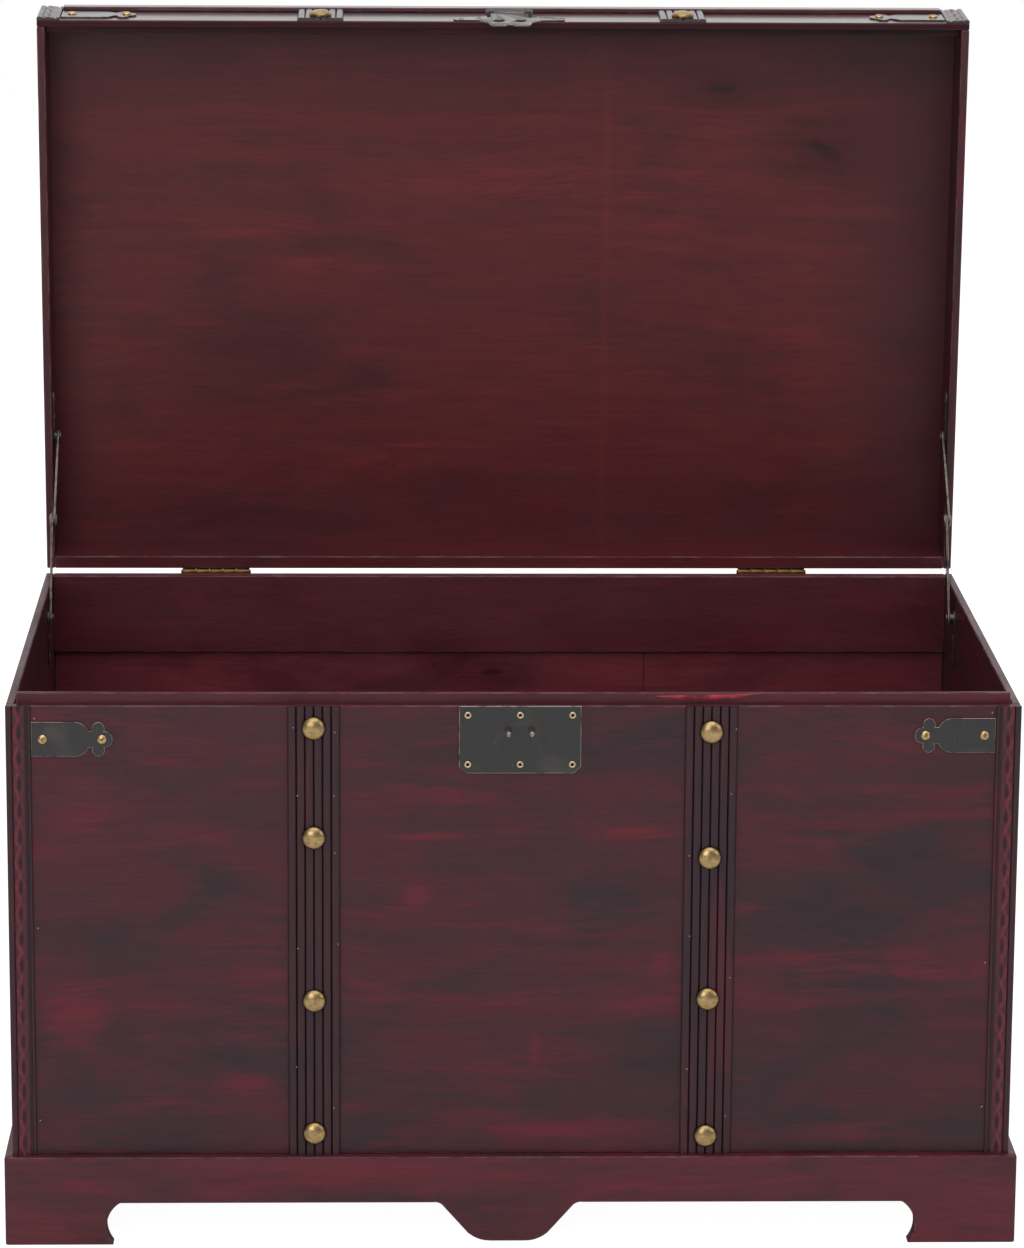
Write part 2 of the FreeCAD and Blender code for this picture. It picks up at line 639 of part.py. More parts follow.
def corner_bracket(label, outer):
    """A flat plate from a corner moulding inwards, ending in a neck and a trefoil; outer end at x = 0."""
    body = new_body(label)
    face = new_sketch(body, "XZ_Plane")
    way = -outer
    turn = -outer
    shoulder = "(bracket_neck - bracket_straight) * 1.25"
    root = "(lobe_centre + lobe_radius * 0.88)"
    rise = "(lobe_offset - lobe_radius * 0.46)"
    corners = [
        ("0", "-bracket_half_height"),
        (f"{way} * bracket_straight", "-bracket_half_height"),
        (f"{way} * bracket_neck", "-bracket_half_neck", shoulder, -turn),
        (f"{way} * (lobe_centre - lobe_radius * 0.9)", "-bracket_half_neck"),
        (f"{way} * lobe_centre", "-(lobe_offset + lobe_radius)", "lobe_radius * 1.05", -turn),
        (f"{way} * {root}", f"-{rise}", "lobe_radius * 1.05", -turn),
        (f"{way} * (lobe_centre + tip_reach)", "0", "tip_radius", -turn),
        (f"{way} * {root}", rise, "tip_radius", -turn),
        (f"{way} * lobe_centre", "lobe_offset + lobe_radius", "lobe_radius * 1.05", -turn),
        (f"{way} * (lobe_centre - lobe_radius * 0.9)", "bracket_half_neck", "lobe_radius * 1.05", -turn),
        (f"{way} * bracket_neck", "bracket_half_neck"),
        (f"{way} * bracket_straight", "bracket_half_height", shoulder, -turn),
        ("0", "bracket_half_height"),
    ]
    outline(face, corners)
    pad(body, face, "plate_thickness")
    return body


BRACKET_OUTER = "(case_width / 2 - moulding_width - trim_gap)"


def case_metalwork(nail, rivet, stud):
    for side, name in ((LEFT, "left"), (RIGHT, "right")):
        place_in_case(corner_bracket(f"corner_bracket_{name}", side), x=f"{side} * {BRACKET_OUTER}",
                      z=f"rim_height - bracket_drop_{name}")
    nails = [spot(f"{side} * ({BRACKET_OUTER} - {along})", "-plate_thickness", f"rim_height - {drop}")
             for side, drop in ((LEFT, "bracket_drop_left"), (RIGHT, "bracket_drop_right"))
             for along in ("bracket_nail_first", "bracket_nail_second")]
    place_in_case(scatter("bracket_nails", nail, nails))

    plate = new_body("lock_plate")
    face = new_sketch(plate, "XZ_Plane")
    half = "(lock_width / 2)"
    outline(face, [(f"-{half}", "0"), (f"-{half}", "-(lock_height - lock_corner)"),
                   (f"-({half} - lock_corner)", "-lock_height"), (f"{half} - lock_corner", "-lock_height"),
                   (half, "-(lock_height - lock_corner)"), (half, "0")])
    pad(plate, face, "plate_thickness")
    place_in_case(plate, x="lock_middle", z="rim_height")
    rivets = [spot(f"lock_middle + {column} * rivet_span", "-plate_thickness", f"rim_height - ({drop})")
              for column in (-1, 0, 1) for drop in ("rivet_margin", "lock_height - rivet_margin")]
    place_in_case(scatter("lock_rivets", rivet, rivets))
    studs = [spot(f"lock_middle + {side} * stud_gap / 2", "-plate_thickness", "rim_height - stud_drop")
             for side in (LEFT, RIGHT)]
    place_in_case(scatter("lock_studs", stud, studs))


def case_dome_nails(dome):
    nails = []
    for side, name in ((LEFT, "left"), (RIGHT, "right")):
        for height in (f"rim_height - dome_first_{name}",
                       f"plinth_height + (rim_height - plinth_height) * dome_second_{name}",
                       f"plinth_height + (rim_height - plinth_height) * dome_third_{name}",
                       f"plinth_height + dome_last_{name}"):
            nails.append(spot(f"{side} * batten_{name}", "-trim_thickness", height))
    place_in_case(scatter("dome_nails", dome, nails))


# ---------------------------------------------------------------- hinges


def hinge_leaf(label, way, first):
    """A leaf on the hinge axis, going down (way -1) or up (way 1), with every second knuckle.

    The frame's origin is on the axis in the middle of the hinge. The leaf lies on the wood at -hinge_gap.
    """
    body = new_body(label)
    pitch = "(hinge_length / knuckles)"
    near = "(hinge_gap + leaf_setback)"
    plate = new_sketch(body, "YZ_Plane", "-hinge_length / 2")
    low, high = sorted((f"{way} * {near}", f"{way} * leaf_width"), key=value)
    rectangle(plate, "-hinge_gap", low, "-(hinge_gap - leaf_thickness)", high)
    pad(body, plate, "hinge_length")
    meet = "sqrt(hinge_gap ^ 2 - (hinge_gap - leaf_thickness) ^ 2)"
    for knuckle in range(first, KNUCKLES, 2):
        start = f"-hinge_length / 2 + {pitch} * {knuckle} + knuckle_gap / 2"
        ring = new_sketch(body, "YZ_Plane", start)
        outline(ring, [("-hinge_gap", f"{way} * {near}"), ("-hinge_gap", "0"),
                       ("0", f"{-way} * hinge_gap", "hinge_gap", -way),
                       ("hinge_gap", "0", "hinge_gap", -way),
                       ("0", f"{way} * hinge_gap", "hinge_gap", -way),
                       ("-(hinge_gap - leaf_thickness)", f"{way} * {meet}", "hinge_gap", -way),
                       ("-(hinge_gap - leaf_thickness)", f"{way} * {near}")])
        circle(ring, "0", "0", "pin_radius + pin_fit")
        pad(body, ring, f"{pitch} - knuckle_gap")
    return body


def headed_pin(name, length):
    """A pin along X with a low head at each end."""
    body = new_body(name)
    profile = new_sketch(body, "XY_Plane")
    neck = f"({length} / 2 + pin_fit * 2)"
    end = f"({neck} + pin_head)"
    outline(profile, [(f"-{end}", "0"), (f"-{end}", "pin_radius * 1.5"), (f"-{neck}", "pin_radius * 1.5"),
                      (f"-{neck}", "pin_radius"), (neck, "pin_radius"), (neck, "pin_radius * 1.5"),
                      (end, "pin_radius * 1.5"), (end, "0")])
    revolve(body, profile, "H_Axis")
    doc.recompute()
    return body


def hinges():
    for side, name in ((LEFT, "left"), (RIGHT, "right")):
        leaf = hinge_leaf(f"hinge_leaf_case_{name}", -1, 0)
        place_in_case(leaf, x=HINGE_AT[side], y="case_depth + hinge_gap", z=AXIS_Z)
        leaf = hinge_leaf(f"hinge_leaf_lid_{name}", 1, 1)
        place_in_lid(leaf, x=HINGE_AT[side])
    pin = headed_pin("hinge_pin_pattern", "hinge_length")
    pins = [spot(HINGE_AT[side], "case_depth + hinge_gap", AXIS_Z) for side in (LEFT, RIGHT)]
    place_in_case(scatter("hinge_pins", pin, pins))


def hinge_screw_spots(plane, way):
    """Three screws a leaf, on its outer face, counted from the hinge axis."""
    return [spot(f"{HINGE_AT[side]} + {column} * hinge_length / 3", plane,
                 f"{way} * leaf_width * (0.45 + 0.22 * {abs(column)})", (0, 0, 1), 180)
            for side in (LEFT, RIGHT) for column in (-1, 0, 1)]


# ---------------------------------------------------------------- lid


def lid_boards():
    half = LID_HALF
    under = "lid_height - lid_top_thickness"
    back = "-hinge_gap"
    front = f"-{LID_FRONT}"
    behind = f"{front} + lid_front_thickness"
    place_in_lid(board("lid_top_board", f"-{half}", half, front, back, under, "lid_height"))
    place_in_lid(board("lid_front_skirt", f"-{half}", half, front, behind, "0", under))
    place_in_lid(board("lid_front_liner", f"-{LID_INNER}", LID_INNER, behind,
                       f"{behind} + lid_liner_thickness", "lid_rebate", under))
    place_in_lid(board("lid_back_skirt", f"-{LID_INNER}", LID_INNER, f"{back} - lid_back_thickness", back,
                       "0", under))
    place_in_lid(board("lid_side_skirt_left", f"-{half}", f"-{LID_INNER}", behind, back, "0", under))
    place_in_lid(board("lid_side_skirt_right", LID_INNER, half, behind, back, "0", under))
    cap = f"({LID_HALF} - moulding_width - trim_gap)"
    place_in_lid(board("lid_front_cap", f"-{cap}", cap, f"{front} - cap_thickness", front,
                       "lid_height - cap_height", "lid_height"))


def lid_trim():
    front = f"-{LID_FRONT}"
    for side, name in ((LEFT, "left"), (RIGHT, "right")):
        strip = moulding(f"lid_moulding_{name}", side, "lid_height")
        place_in_lid(strip, x=f"{side} * {LID_HALF}", y=front)
        reeds = batten(f"lid_batten_{name}", "lid_height - cap_height", pitch="lid_reed_pitch")
        place_in_lid(reeds, x=f"{side} * lid_batten_{name}", y=front)
        place_in_lid(corner_bracket(f"lid_bracket_{name}", side),
                     x=f"{side} * ({BRACKET_OUTER} - lid_inset)", y=front,
                     z="lid_bracket_height")


def lid_nails(nail, dome):
    outer = f"({BRACKET_OUTER} - lid_inset)"
    plane = f"-{LID_FRONT} - plate_thickness"
    nails = [spot(f"{side} * ({outer} - {along})", plane, "lid_bracket_height")
             for side in (LEFT, RIGHT) for along in ("bracket_nail_first", "bracket_nail_second")]
    place_in_lid(scatter("lid_bracket_nails", nail, nails))
    domes = [spot(f"{side} * lid_batten_{name}", f"-{LID_FRONT} - trim_thickness", "lid_dome_height")
             for side, name in ((LEFT, "left"), (RIGHT, "right"))]
    place_in_lid(scatter("lid_dome_nails", dome, domes))


# ---------------------------------------------------------------- hasp


def hasp_bracket():
    """The winged plate on the lid's front skirt and its two lugs; the origin is on the skirt at the rim."""
    body = new_body("hasp_bracket")
    face = new_sketch(body, "XZ_Plane")
    half = "(hasp_base_length / 2)"
    flat = "(hasp_half_barrel + hasp_play + hasp_lug)"
    top = "(hasp_base_low + hasp_base_height)"
    shoulder = "(hasp_base_low + hasp_base_end)"
    outline(face, [(f"-{half} + hasp_base_corner", "hasp_base_low", "hasp_base_corner", -1),
                   (f"{half} - hasp_base_corner", "hasp_base_low"),
                   (half, "hasp_base_low + hasp_base_corner", "hasp_base_corner", -1),
                   (half, shoulder),
                   (flat, top),
                   (f"-{flat}", top),
                   (f"-{half}", shoulder),
                   (f"-{half}", "hasp_base_low + hasp_base_corner")])
    pad(body, face, "hasp_base_thickness")
    for side in (LEFT, RIGHT):
        inner = "(hasp_half_barrel + hasp_play)"
        start = inner if side == RIGHT else f"-({inner} + hasp_lug)"
        lug = new_sketch(body, "YZ_Plane", start)
        top_y = "-hasp_pivot_proud"
        radius = "hasp_barrel_radius"
        foot = "-(hasp_base_thickness * 0.5)"
        outline(lug, [(foot, f"hasp_pivot_height - {radius}"),
                      (foot, f"hasp_pivot_height + {radius}"),
                      (top_y, f"hasp_pivot_height + {radius}"),
                      (f"{top_y} - {radius}", "hasp_pivot_height", radius, -1),
                      (top_y, f"hasp_pivot_height - {radius}", radius, -1)])
        circle(lug, top_y, "hasp_pivot_height", "pin_radius + pin_fit")
        pad(body, lug, "hasp_lug")
    return body


def hasp():
    """The swinging plate, hanging along -Z from its pin, with the holes that pass over the lock studs."""
    body = new_body("hasp_plate")
    half_thick = "(hasp_thickness / 2)"
    face = new_sketch(body, "XZ_Plane", f"-{half_thick}")
    eye = "(stud_drop + hasp_pivot_height)"
    low = f"-({eye} + hasp_lobe_low)"
    high = f"-({eye} - hasp_lobe_high)"
    outer = []
    for side in (LEFT, RIGHT):
        half = [
            (f"{side} * hasp_half_neck", high, "hasp_fillet", 1),
            (f"{side} * (hasp_half_neck + 4.5)", f"{high} - 2.5", "hasp_lobe_radius", -1),
            (f"{side} * hasp_half_lobes", f"-({eye} - 4)", "hasp_lobe_radius * 1.15", -1),
            (f"{side} * (hasp_half_neck + 4)", low, "hasp_fillet * 1.6", 1),
            (f"{side} * (hasp_half_end + 1)", "-(hasp_reach - 3.5)", "4", -1),
            (f"{side} * (hasp_half_end - 2)", "-hasp_reach"),
            (f"{side} * hasp_notch", "-hasp_reach"),
        ]
        outer.append(half)
    left, right = outer
    corners = [("hasp_half_barrel", "-hasp_barrel_radius"), ("-hasp_half_barrel", "-hasp_barrel_radius"),
               ("-hasp_half_barrel", "-hasp_shoulder"), ("-hasp_half_neck", "-hasp_shoulder"), left[0][:2]]
    corners += [here[:2] + before[2:] for before, here in zip(left, left[1:])]
    corners.append(right[-1][:2] + ("hasp_notch * 1.05", 1))
    right.reverse()
    corners += [here for here in right[1:]]
    corners += [("hasp_half_neck", "-hasp_shoulder"), ("hasp_half_barrel", "-hasp_shoulder")]
    outline(face, corners)
    for side in (LEFT, RIGHT):
        circle(face, f"{side} * stud_gap / 2", f"-{eye}", "hasp_hole")
    pad(body, face, "hasp_thickness")
    barrel = new_sketch(body, "YZ_Plane", "-hasp_half_barrel")
    circle(barrel, "0", "0", "hasp_barrel_radius")
    circle(barrel, "0", "0", "pin_radius + pin_fit")
    pad(body, barrel, "hasp_half_barrel * 2")
    web = new_sketch(body, "XZ_Plane", f"-{half_thick}")
    rectangle(web, "-hasp_half_barrel", "-(hasp_barrel_radius + 0.2)",
              "hasp_half_barrel", "-(pin_radius + pin_fit + 0.2)")
    pad(body, web, "hasp_thickness")
    return body


def hasp_set():
    place_in_lid(hasp_bracket(), x="lock_middle", y=f"-{LID_FRONT}")
    pin = headed_pin("hasp_pin", "(hasp_half_barrel + hasp_play + hasp_lug) * 2")
    place_in_lid(pin, x="lock_middle", y=f"-{LID_FRONT} - hasp_pivot_proud", z="hasp_pivot_height")
    place_in_lid(hasp(), x="lock_middle", y=f"-{LID_FRONT} - hasp_pivot_proud", z="hasp_pivot_height",
                 tilt="hasp_tilt")


# ---------------------------------------------------------------- lid stays


def stay_points():
    """Case pivot, lid pivot and elbow in the case frame (y, z), with the lid at rest."""
    opening = math.radians(value("lid_open"))
    case_y = value("case_depth - stay_case_inset")
    case_z = value("rim_height - stay_case_drop")
    along = -value("stay_lid_reach")
    rise = value("stay_lid_rise")
    lid_y = value("case_depth + hinge_gap") + along * math.cos(opening) + rise * math.sin(opening)
    lid_z = value(AXIS_Z) - along * math.sin(opening) + rise * math.cos(opening)
    upper, lower = value("stay_upper"), value("stay_lower")
    apart = math.hypot(lid_y - case_y, lid_z - case_z)
    reach = (lower ** 2 - upper ** 2 + apart ** 2) / (2 * apart)
    height = math.sqrt(lower ** 2 - reach ** 2)
    unit_y, unit_z = (lid_y - case_y) / apart, (lid_z - case_z) / apart
    elbow_y = case_y + unit_y * reach - unit_z * height
    elbow_z = case_z + unit_z * reach + unit_y * height
    return (case_y, case_z), (lid_y, lid_z), (elbow_y, elbow_z)


def stay_arm(label, length, head_way):
    """A flat arm from its pivot at the origin up along +Z, with a rivet head at the elbow end.

    The arm's thickness starts at x = 0 and goes along +X. The head stands on the side that head_way names.
    """
    body = new_body(label)
    face = new_sketch(body, "YZ_Plane")
    half = "(arm_width / 2)"
    outline(face, [(half, "0", half, -1), (half, length), ("0", f"{length} + {half}", half, -1),
                   (f"-{half}", length, half, -1), (f"-{half}", "0"),
                   ("0", f"-{half}", half, -1)])
    circle(face, "0", "0", "arm_pivot_radius + pin_fit")
    pad(body, face, "arm_thickness")
    start = "arm_thickness" if head_way == RIGHT else "-arm_head_height"
    head = new_sketch(body, "YZ_Plane", start)
    circle(head, "0", length, "arm_head_radius")
    pad(body, head, "arm_head_height")
    return body


def stay_plate(name, wall_x, arm_x, side):
    """A screw plate on a wall with the stud that carries one arm; the stud's axis is the origin's X axis."""
    body = new_body(name)
    half = "(stay_plate_width / 2)"
    outer = wall_x if side == LEFT else f"{wall_x} - stay_plate_thickness"
    face = new_sketch(body, "YZ_Plane", outer)
    end = f"stay_plate_length - {half}"
    outline(face, [(half, "0", half, -1), (half, end),
                   ("0", "stay_plate_length", half, -1), (f"-{half}", end, half, -1),
                   (f"-{half}", "0"), ("0", f"-{half}", half, -1)])
    pad(body, face, "stay_plate_thickness")
    clear = "arm_gap / 2"
    if side == LEFT:
        seat, seat_end = f"{wall_x} + stay_plate_thickness * 0.5", f"{arm_x} - {clear}"
        stud, stud_end = seat_end, f"{arm_x} + arm_thickness + {clear}"
        head, head_end = stud_end, f"{stud_end} + arm_head_height"
    else:
        head_end, head = f"{arm_x} - {clear}", f"{arm_x} - {clear} - arm_head_height"
        stud, stud_end = head_end, f"{arm_x} + arm_thickness + {clear}"
        seat, seat_end = stud_end, f"{wall_x} - stay_plate_thickness * 0.5"
    for start, end, radius in ((seat, seat_end, "arm_head_radius"), (stud, stud_end, "arm_pivot_radius"),
                               (head, head_end, "arm_head_radius")):
        disc = new_sketch(body, "YZ_Plane", start)
        circle(disc, "0", "0", radius)
        pad(body, disc, f"({end}) - ({start})")
    return body


def turned(part, angle):
    part.Placement = FreeCAD.Placement(FreeCAD.Vector(), FreeCAD.Rotation(FreeCAD.Vector(1, 0, 0), angle))
    return part


def arm_angle(start, end):
    """Turn about X that brings +Z onto the line from start to end, in degrees."""
    return -math.degrees(math.atan2(end[0] - start[0], end[1] - start[1]))


def stays():
    """Two like stays, so on both sides the lower arm lies to the left of the upper one."""
    case_pivot, lid_pivot, elbow = stay_points()
    lower_angle = arm_angle(case_pivot, elbow)
    upper_angle = arm_angle(lid_pivot, elbow)
    case_plates = []
    lid_plates = []
    for side, name in ((LEFT, "left"), (RIGHT, "right")):
        wall = f"{side} * {INNER}"
        lid_wall = f"{side} * {LID_INNER}"
        if side == LEFT:
            lower_x = f"({wall} + stay_plate_thickness + arm_gap)"
        else:
            lower_x = f"({lid_wall} - stay_plate_thickness - arm_gap * 2 - arm_thickness * 2)"
        upper_x = f"({lower_x} + arm_thickness + arm_gap)"
        lower = stay_arm(f"stay_lower_arm_{name}", "stay_lower", LEFT)
        place_in_case(turned(lower, lower_angle), lower_x, f"{case_pivot[0]}", f"{case_pivot[1]}")
        upper = stay_arm(f"stay_upper_arm_{name}", "stay_upper", RIGHT)
        place_in_case(turned(upper, upper_angle), upper_x, f"{lid_pivot[0]}", f"{lid_pivot[1]}")
        plate = stay_plate(f"stay_case_plate_{name}", wall, lower_x, side)
        case_plates.append(seat(plate, "0", "case_depth - stay_case_inset",
                                "rim_height - stay_case_drop", "180"))
        plate = stay_plate(f"stay_lid_plate_{name}", lid_wall, upper_x, side)
        lid_plates.append(seat(plate, "0", "-stay_lid_reach", "stay_lid_rise", "-90"))
    place_in_case(group("stay_case_plates", case_plates))
    place_in_lid(group("stay_lid_plates", lid_plates))


# ---------------------------------------------------------------- drop handles


def handle_plate(label, side):
    """An oblong plate with two bored lugs; its back face is at x = 0 and it stands out on its own side."""
    body = new_body(label)
    face = new_sketch(body, "YZ_Plane", "0" if side == RIGHT else "-plate_thickness")
    long_half = "(handle_plate_length / 2)"
    high_half = "(handle_plate_height / 2)"
    nick = "(handle_plate_height / 4)"
    outline(face, [(long_half, f"-{nick}", nick, 1), (long_half, nick),
                   (f"{long_half} - {nick}", high_half, nick, 1),
                   (f"-({long_half} - {nick})", high_half),
                   (f"-{long_half}", nick, nick, 1), (f"-{long_half}", f"-{nick}"),
                   (f"-({long_half} - {nick})", f"-{high_half}", nick, 1),
                   (f"{long_half} - {nick}", f"-{high_half}")])
    pad(body, face, "plate_thickness")
    axis_x = f"{side} * (plate_thickness + handle_lug_radius)"
    root = f"{side} * plate_thickness * 0.5"
    for end in (-1, 1):
        lug = new_sketch(body, "XZ_Plane", f"-({end} * handle_span / 2 + handle_lug_width / 2)")
        turn = side
        outline(lug, [(root, "-handle_lug_radius"), (axis_x, "-handle_lug_radius"),
                      (f"{axis_x} + {side} * handle_lug_radius", "0", "handle_lug_radius", -turn),
                      (axis_x, "handle_lug_radius", "handle_lug_radius", -turn),
                      (root, "handle_lug_radius")])
        circle(lug, axis_x, "0", "bail_radius + pin_fit")
        pad(body, lug, "handle_lug_width")
    return body


def handle_bail(label):
    """A bar hanging from its pivots: a round stub in each lug, two legs and the grip, with bent corners."""
    leg = value("handle_span / 2 + handle_lug_width / 2 + bail_play + bail_radius")
    stub = value("handle_span / 2 - handle_lug_width / 2 - bail_play")
    drop, bend = value("bail_drop"), value("bail_corner")
    tight = value("bail_radius * 1.15")
    body = new_body(label)
    route = new_sketch(body, "YZ_Plane")
    slant = math.sqrt(0.5)
    edges = []

    def line(y0, z0, y1, z1):
        ends = [FreeCAD.Vector(a, b, 0) for a, b in ((y0, z0), (y1, z1))]
        edges.append(route.addGeometry(Part.LineSegment(*ends)))

    def arc(y0, z0, ym, zm, y1, z1):
        points = [FreeCAD.Vector(a, b, 0) for a, b in ((y0, z0), (ym, zm), (y1, z1))]
        edges.append(route.addGeometry(Part.Arc(*points)))

    for side in (LEFT, RIGHT):
        line(side * stub, 0, side * (leg - tight), 0)
        arc(side * (leg - tight), 0, side * (leg - tight + tight * slant), -tight + tight * slant,
            side * leg, -tight)
        line(side * leg, -tight, side * leg, -(drop - bend))
        arc(side * leg, -(drop - bend), side * (leg - bend + bend * slant), -(drop - bend + bend * slant),
            side * (leg - bend), -drop)
    line(-(leg - bend), -drop, leg - bend, -drop)
    for edge in edges:
        route.addConstraint(Sketcher.Constraint("Block", edge))
    section = new_sketch(body, "XZ_Plane", f"{stub}")
    turns = [math.radians(360 * corner / FACETS) for corner in range(FACETS)]
    corner_radius = "(bail_radius * 0.985)"
    outline(section, [(f"{corner_radius} * {math.cos(turn):.6f}", f"{corner_radius} * {math.sin(turn):.6f}")
                      for turn in turns])
    doc.recompute()
    pipe = body.newObject("PartDesign::AdditivePipe", f"{body.Name}_pipe")
    pipe.Profile = section
    pipe.Spine = (route, [f"Edge{n}" for n in range(1, len(edges) + 1)])
    pipe.Mode = "Standard"
    body.Tip = pipe
    for start in (stub, tight - leg):
        end = new_sketch(body, "XZ_Plane", f"{start}")
        circle(end, "0", "0", "bail_radius")
        pad(body, end, f"{leg - tight - stub}")
    return body


def handles():
    reach = "(plate_thickness + handle_lug_radius)"
    middle = "case_depth / 2"
    for side, name in ((LEFT, "left"), (RIGHT, "right")):
        place_in_case(handle_plate(f"handle_plate_{name}", side), x=f"{side} * {HALF}", y=middle,
                      z="handle_height")
        place_in_case(handle_bail(f"handle_bail_{name}"), x=f"{side} * ({HALF} + {reach})", y=middle,
                      z="handle_height")


# ---------------------------------------------------------------- screws


def case_screws(screw):
    """Hinge screws, stay screws and handle screws that go into the case."""
    axis = spot("0", "case_depth + hinge_gap", AXIS_Z)
    spots = [axis.multiply(hole) for hole in hinge_screw_spots("leaf_thickness - hinge_gap", -1)]
    for side in (LEFT, RIGHT):
        outward = side * 90
        face = f"{side} * ({HALF} + plate_thickness)"
        for end in (-1, 1):
            along = f"case_depth / 2 + {end} * (handle_plate_length / 2 - handle_screw_margin)"
            spots.append(spot(face, along, "handle_height", (0, 0, 1), outward))
        inward = -side * 90
        plate = f"{side} * ({INNER} - stay_plate_thickness)"
        for along in ("stay_plate_length * 0.42", "stay_plate_length * 0.8"):
            spots.append(spot(plate, "case_depth - stay_case_inset",
                              f"rim_height - stay_case_drop - {along}", (0, 0, 1), inward))
    place_in_case(scatter("case_screws", screw, spots))


def lid_screws(screw):
    """Hinge screws, stay screws and hasp screws that go into the lid."""
    spots = hinge_screw_spots("leaf_thickness - hinge_gap", 1)
    for side in (LEFT, RIGHT):
        inward = -side * 90
        plate = f"{side} * ({LID_INNER} - stay_plate_thickness)"
        for along in ("stay_plate_length * 0.42", "stay_plate_length * 0.8"):
            spots.append(spot(plate, f"-stay_lid_reach - {along}", "stay_lid_rise", (0, 0, 1), inward))
        for column, height in ((0.43, "hasp_screw_low"), (0.275, "hasp_screw_high")):
            spots.append(spot(f"lock_middle + {side * column} * hasp_base_length",
                              f"-{LID_FRONT} - hasp_base_thickness", height))
    place_in_lid(scatter("lid_screws", screw, spots))


# ---------------------------------------------------------------- build


def build():
    fill_sheet()
    plinth()
    cleats()
    case_panels()
    case_trim()
    dome = domed_head("dome_pattern", "dome_radius", "dome_height")
    nail = faceted_head("nail_pattern", "nail_radius", "nail_height", 16)
    screw = faceted_head("screw_pattern", "screw_radius", "screw_height")
    case_dome_nails(dome)
    case_metalwork(nail, tubular_rivet("rivet_pattern"), eye_stud("stud_pattern"))
    hinges()
    lid_boards()
    lid_trim()
    lid_nails(nail, dome)
    hasp_set()
    stays()
    handles()
    case_screws(screw)
    lid_screws(screw)
    doc.recompute()


def check():
    """Stops the run if any object failed or any sub-part is empty or broken."""
    for item in doc.Objects:
        if "Invalid" in item.State or "Error" in item.State:
            raise ValueError(f"{item.Label}: {item.State}")
    for part in parts:
        if part.Shape.isNull() or not part.Shape.isValid() or not part.Shape.Solids:
            raise ValueError(f"{part.Label}: no valid solid")


def export():
    os.makedirs("parts", exist_ok=True)
    for part in parts:
        part.Shape.exportStep(f"parts/{part.Label}.step")
        print(f"{part.Label}: {len(part.Shape.Solids)} solid(s), {part.Shape.Volume:.0f} mm3")


build()
check()
export()
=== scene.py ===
"""Dresses the chest: stained wood, carved and reeded trim, worn metal, brass nails, and a plain studio."""

import json
import math

import bpy
import numpy as np
from bpy.props import FloatProperty, FloatVectorProperty, PointerProperty
from mathutils import Matrix, Vector


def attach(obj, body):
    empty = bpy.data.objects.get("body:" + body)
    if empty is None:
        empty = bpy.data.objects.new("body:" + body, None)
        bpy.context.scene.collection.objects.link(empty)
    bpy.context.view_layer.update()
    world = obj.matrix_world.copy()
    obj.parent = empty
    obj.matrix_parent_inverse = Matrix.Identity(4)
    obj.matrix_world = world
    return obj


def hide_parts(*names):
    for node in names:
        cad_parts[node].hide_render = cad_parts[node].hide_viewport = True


bl_info = {
    "name": "Chest dresser",
    "version": (1, 0, 0),
    "blender": (4, 5, 0),
    "location": "View3D > Sidebar > Chest",
    "description": "Surfaces, small parts and a studio for a lidded wooden chest",
    "category": "Object",
}

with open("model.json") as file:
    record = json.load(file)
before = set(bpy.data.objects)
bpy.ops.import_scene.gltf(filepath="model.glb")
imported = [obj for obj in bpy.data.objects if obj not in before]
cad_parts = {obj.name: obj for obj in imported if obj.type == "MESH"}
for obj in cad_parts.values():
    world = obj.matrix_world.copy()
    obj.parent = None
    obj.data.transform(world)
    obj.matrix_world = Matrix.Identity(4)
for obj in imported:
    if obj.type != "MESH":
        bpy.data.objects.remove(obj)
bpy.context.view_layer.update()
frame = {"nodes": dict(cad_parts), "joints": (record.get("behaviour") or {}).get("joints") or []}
HINGE = next(j for j in frame["joints"] if j["name"] == "lid_hinge")
AXIS = np.array(HINGE["pos_m"])
OPENING = math.radians(HINGE["range_deg"][1])
COS, SIN = math.cos(OPENING), math.sin(OPENING)
LID_TURN = np.array(((1, 0, 0), (0, COS, -SIN), (0, SIN, COS)))  # turns rows of points from shut to open
OUTWARD = (0, -1, 0)  # the way the chest's front faces
MM = 0.001
MERGE = 1e-6  # points closer than this are one


# ---- sizes and colours


def length(name, description, default):
    return FloatProperty(name=name, description=description, default=default, min=0.0, unit="LENGTH")


def colour(name, description, default):
    """A colour property given as sRGB bytes, kept as linear values."""
    linear = [c / 12.92 / 255 if c <= 10 else ((c / 255 + 0.055) / 1.055) ** 2.4 for c in default]
    return FloatVectorProperty(name=name, description=description, default=linear, min=0.0, max=1.0,
                               size=3, subtype="COLOR")


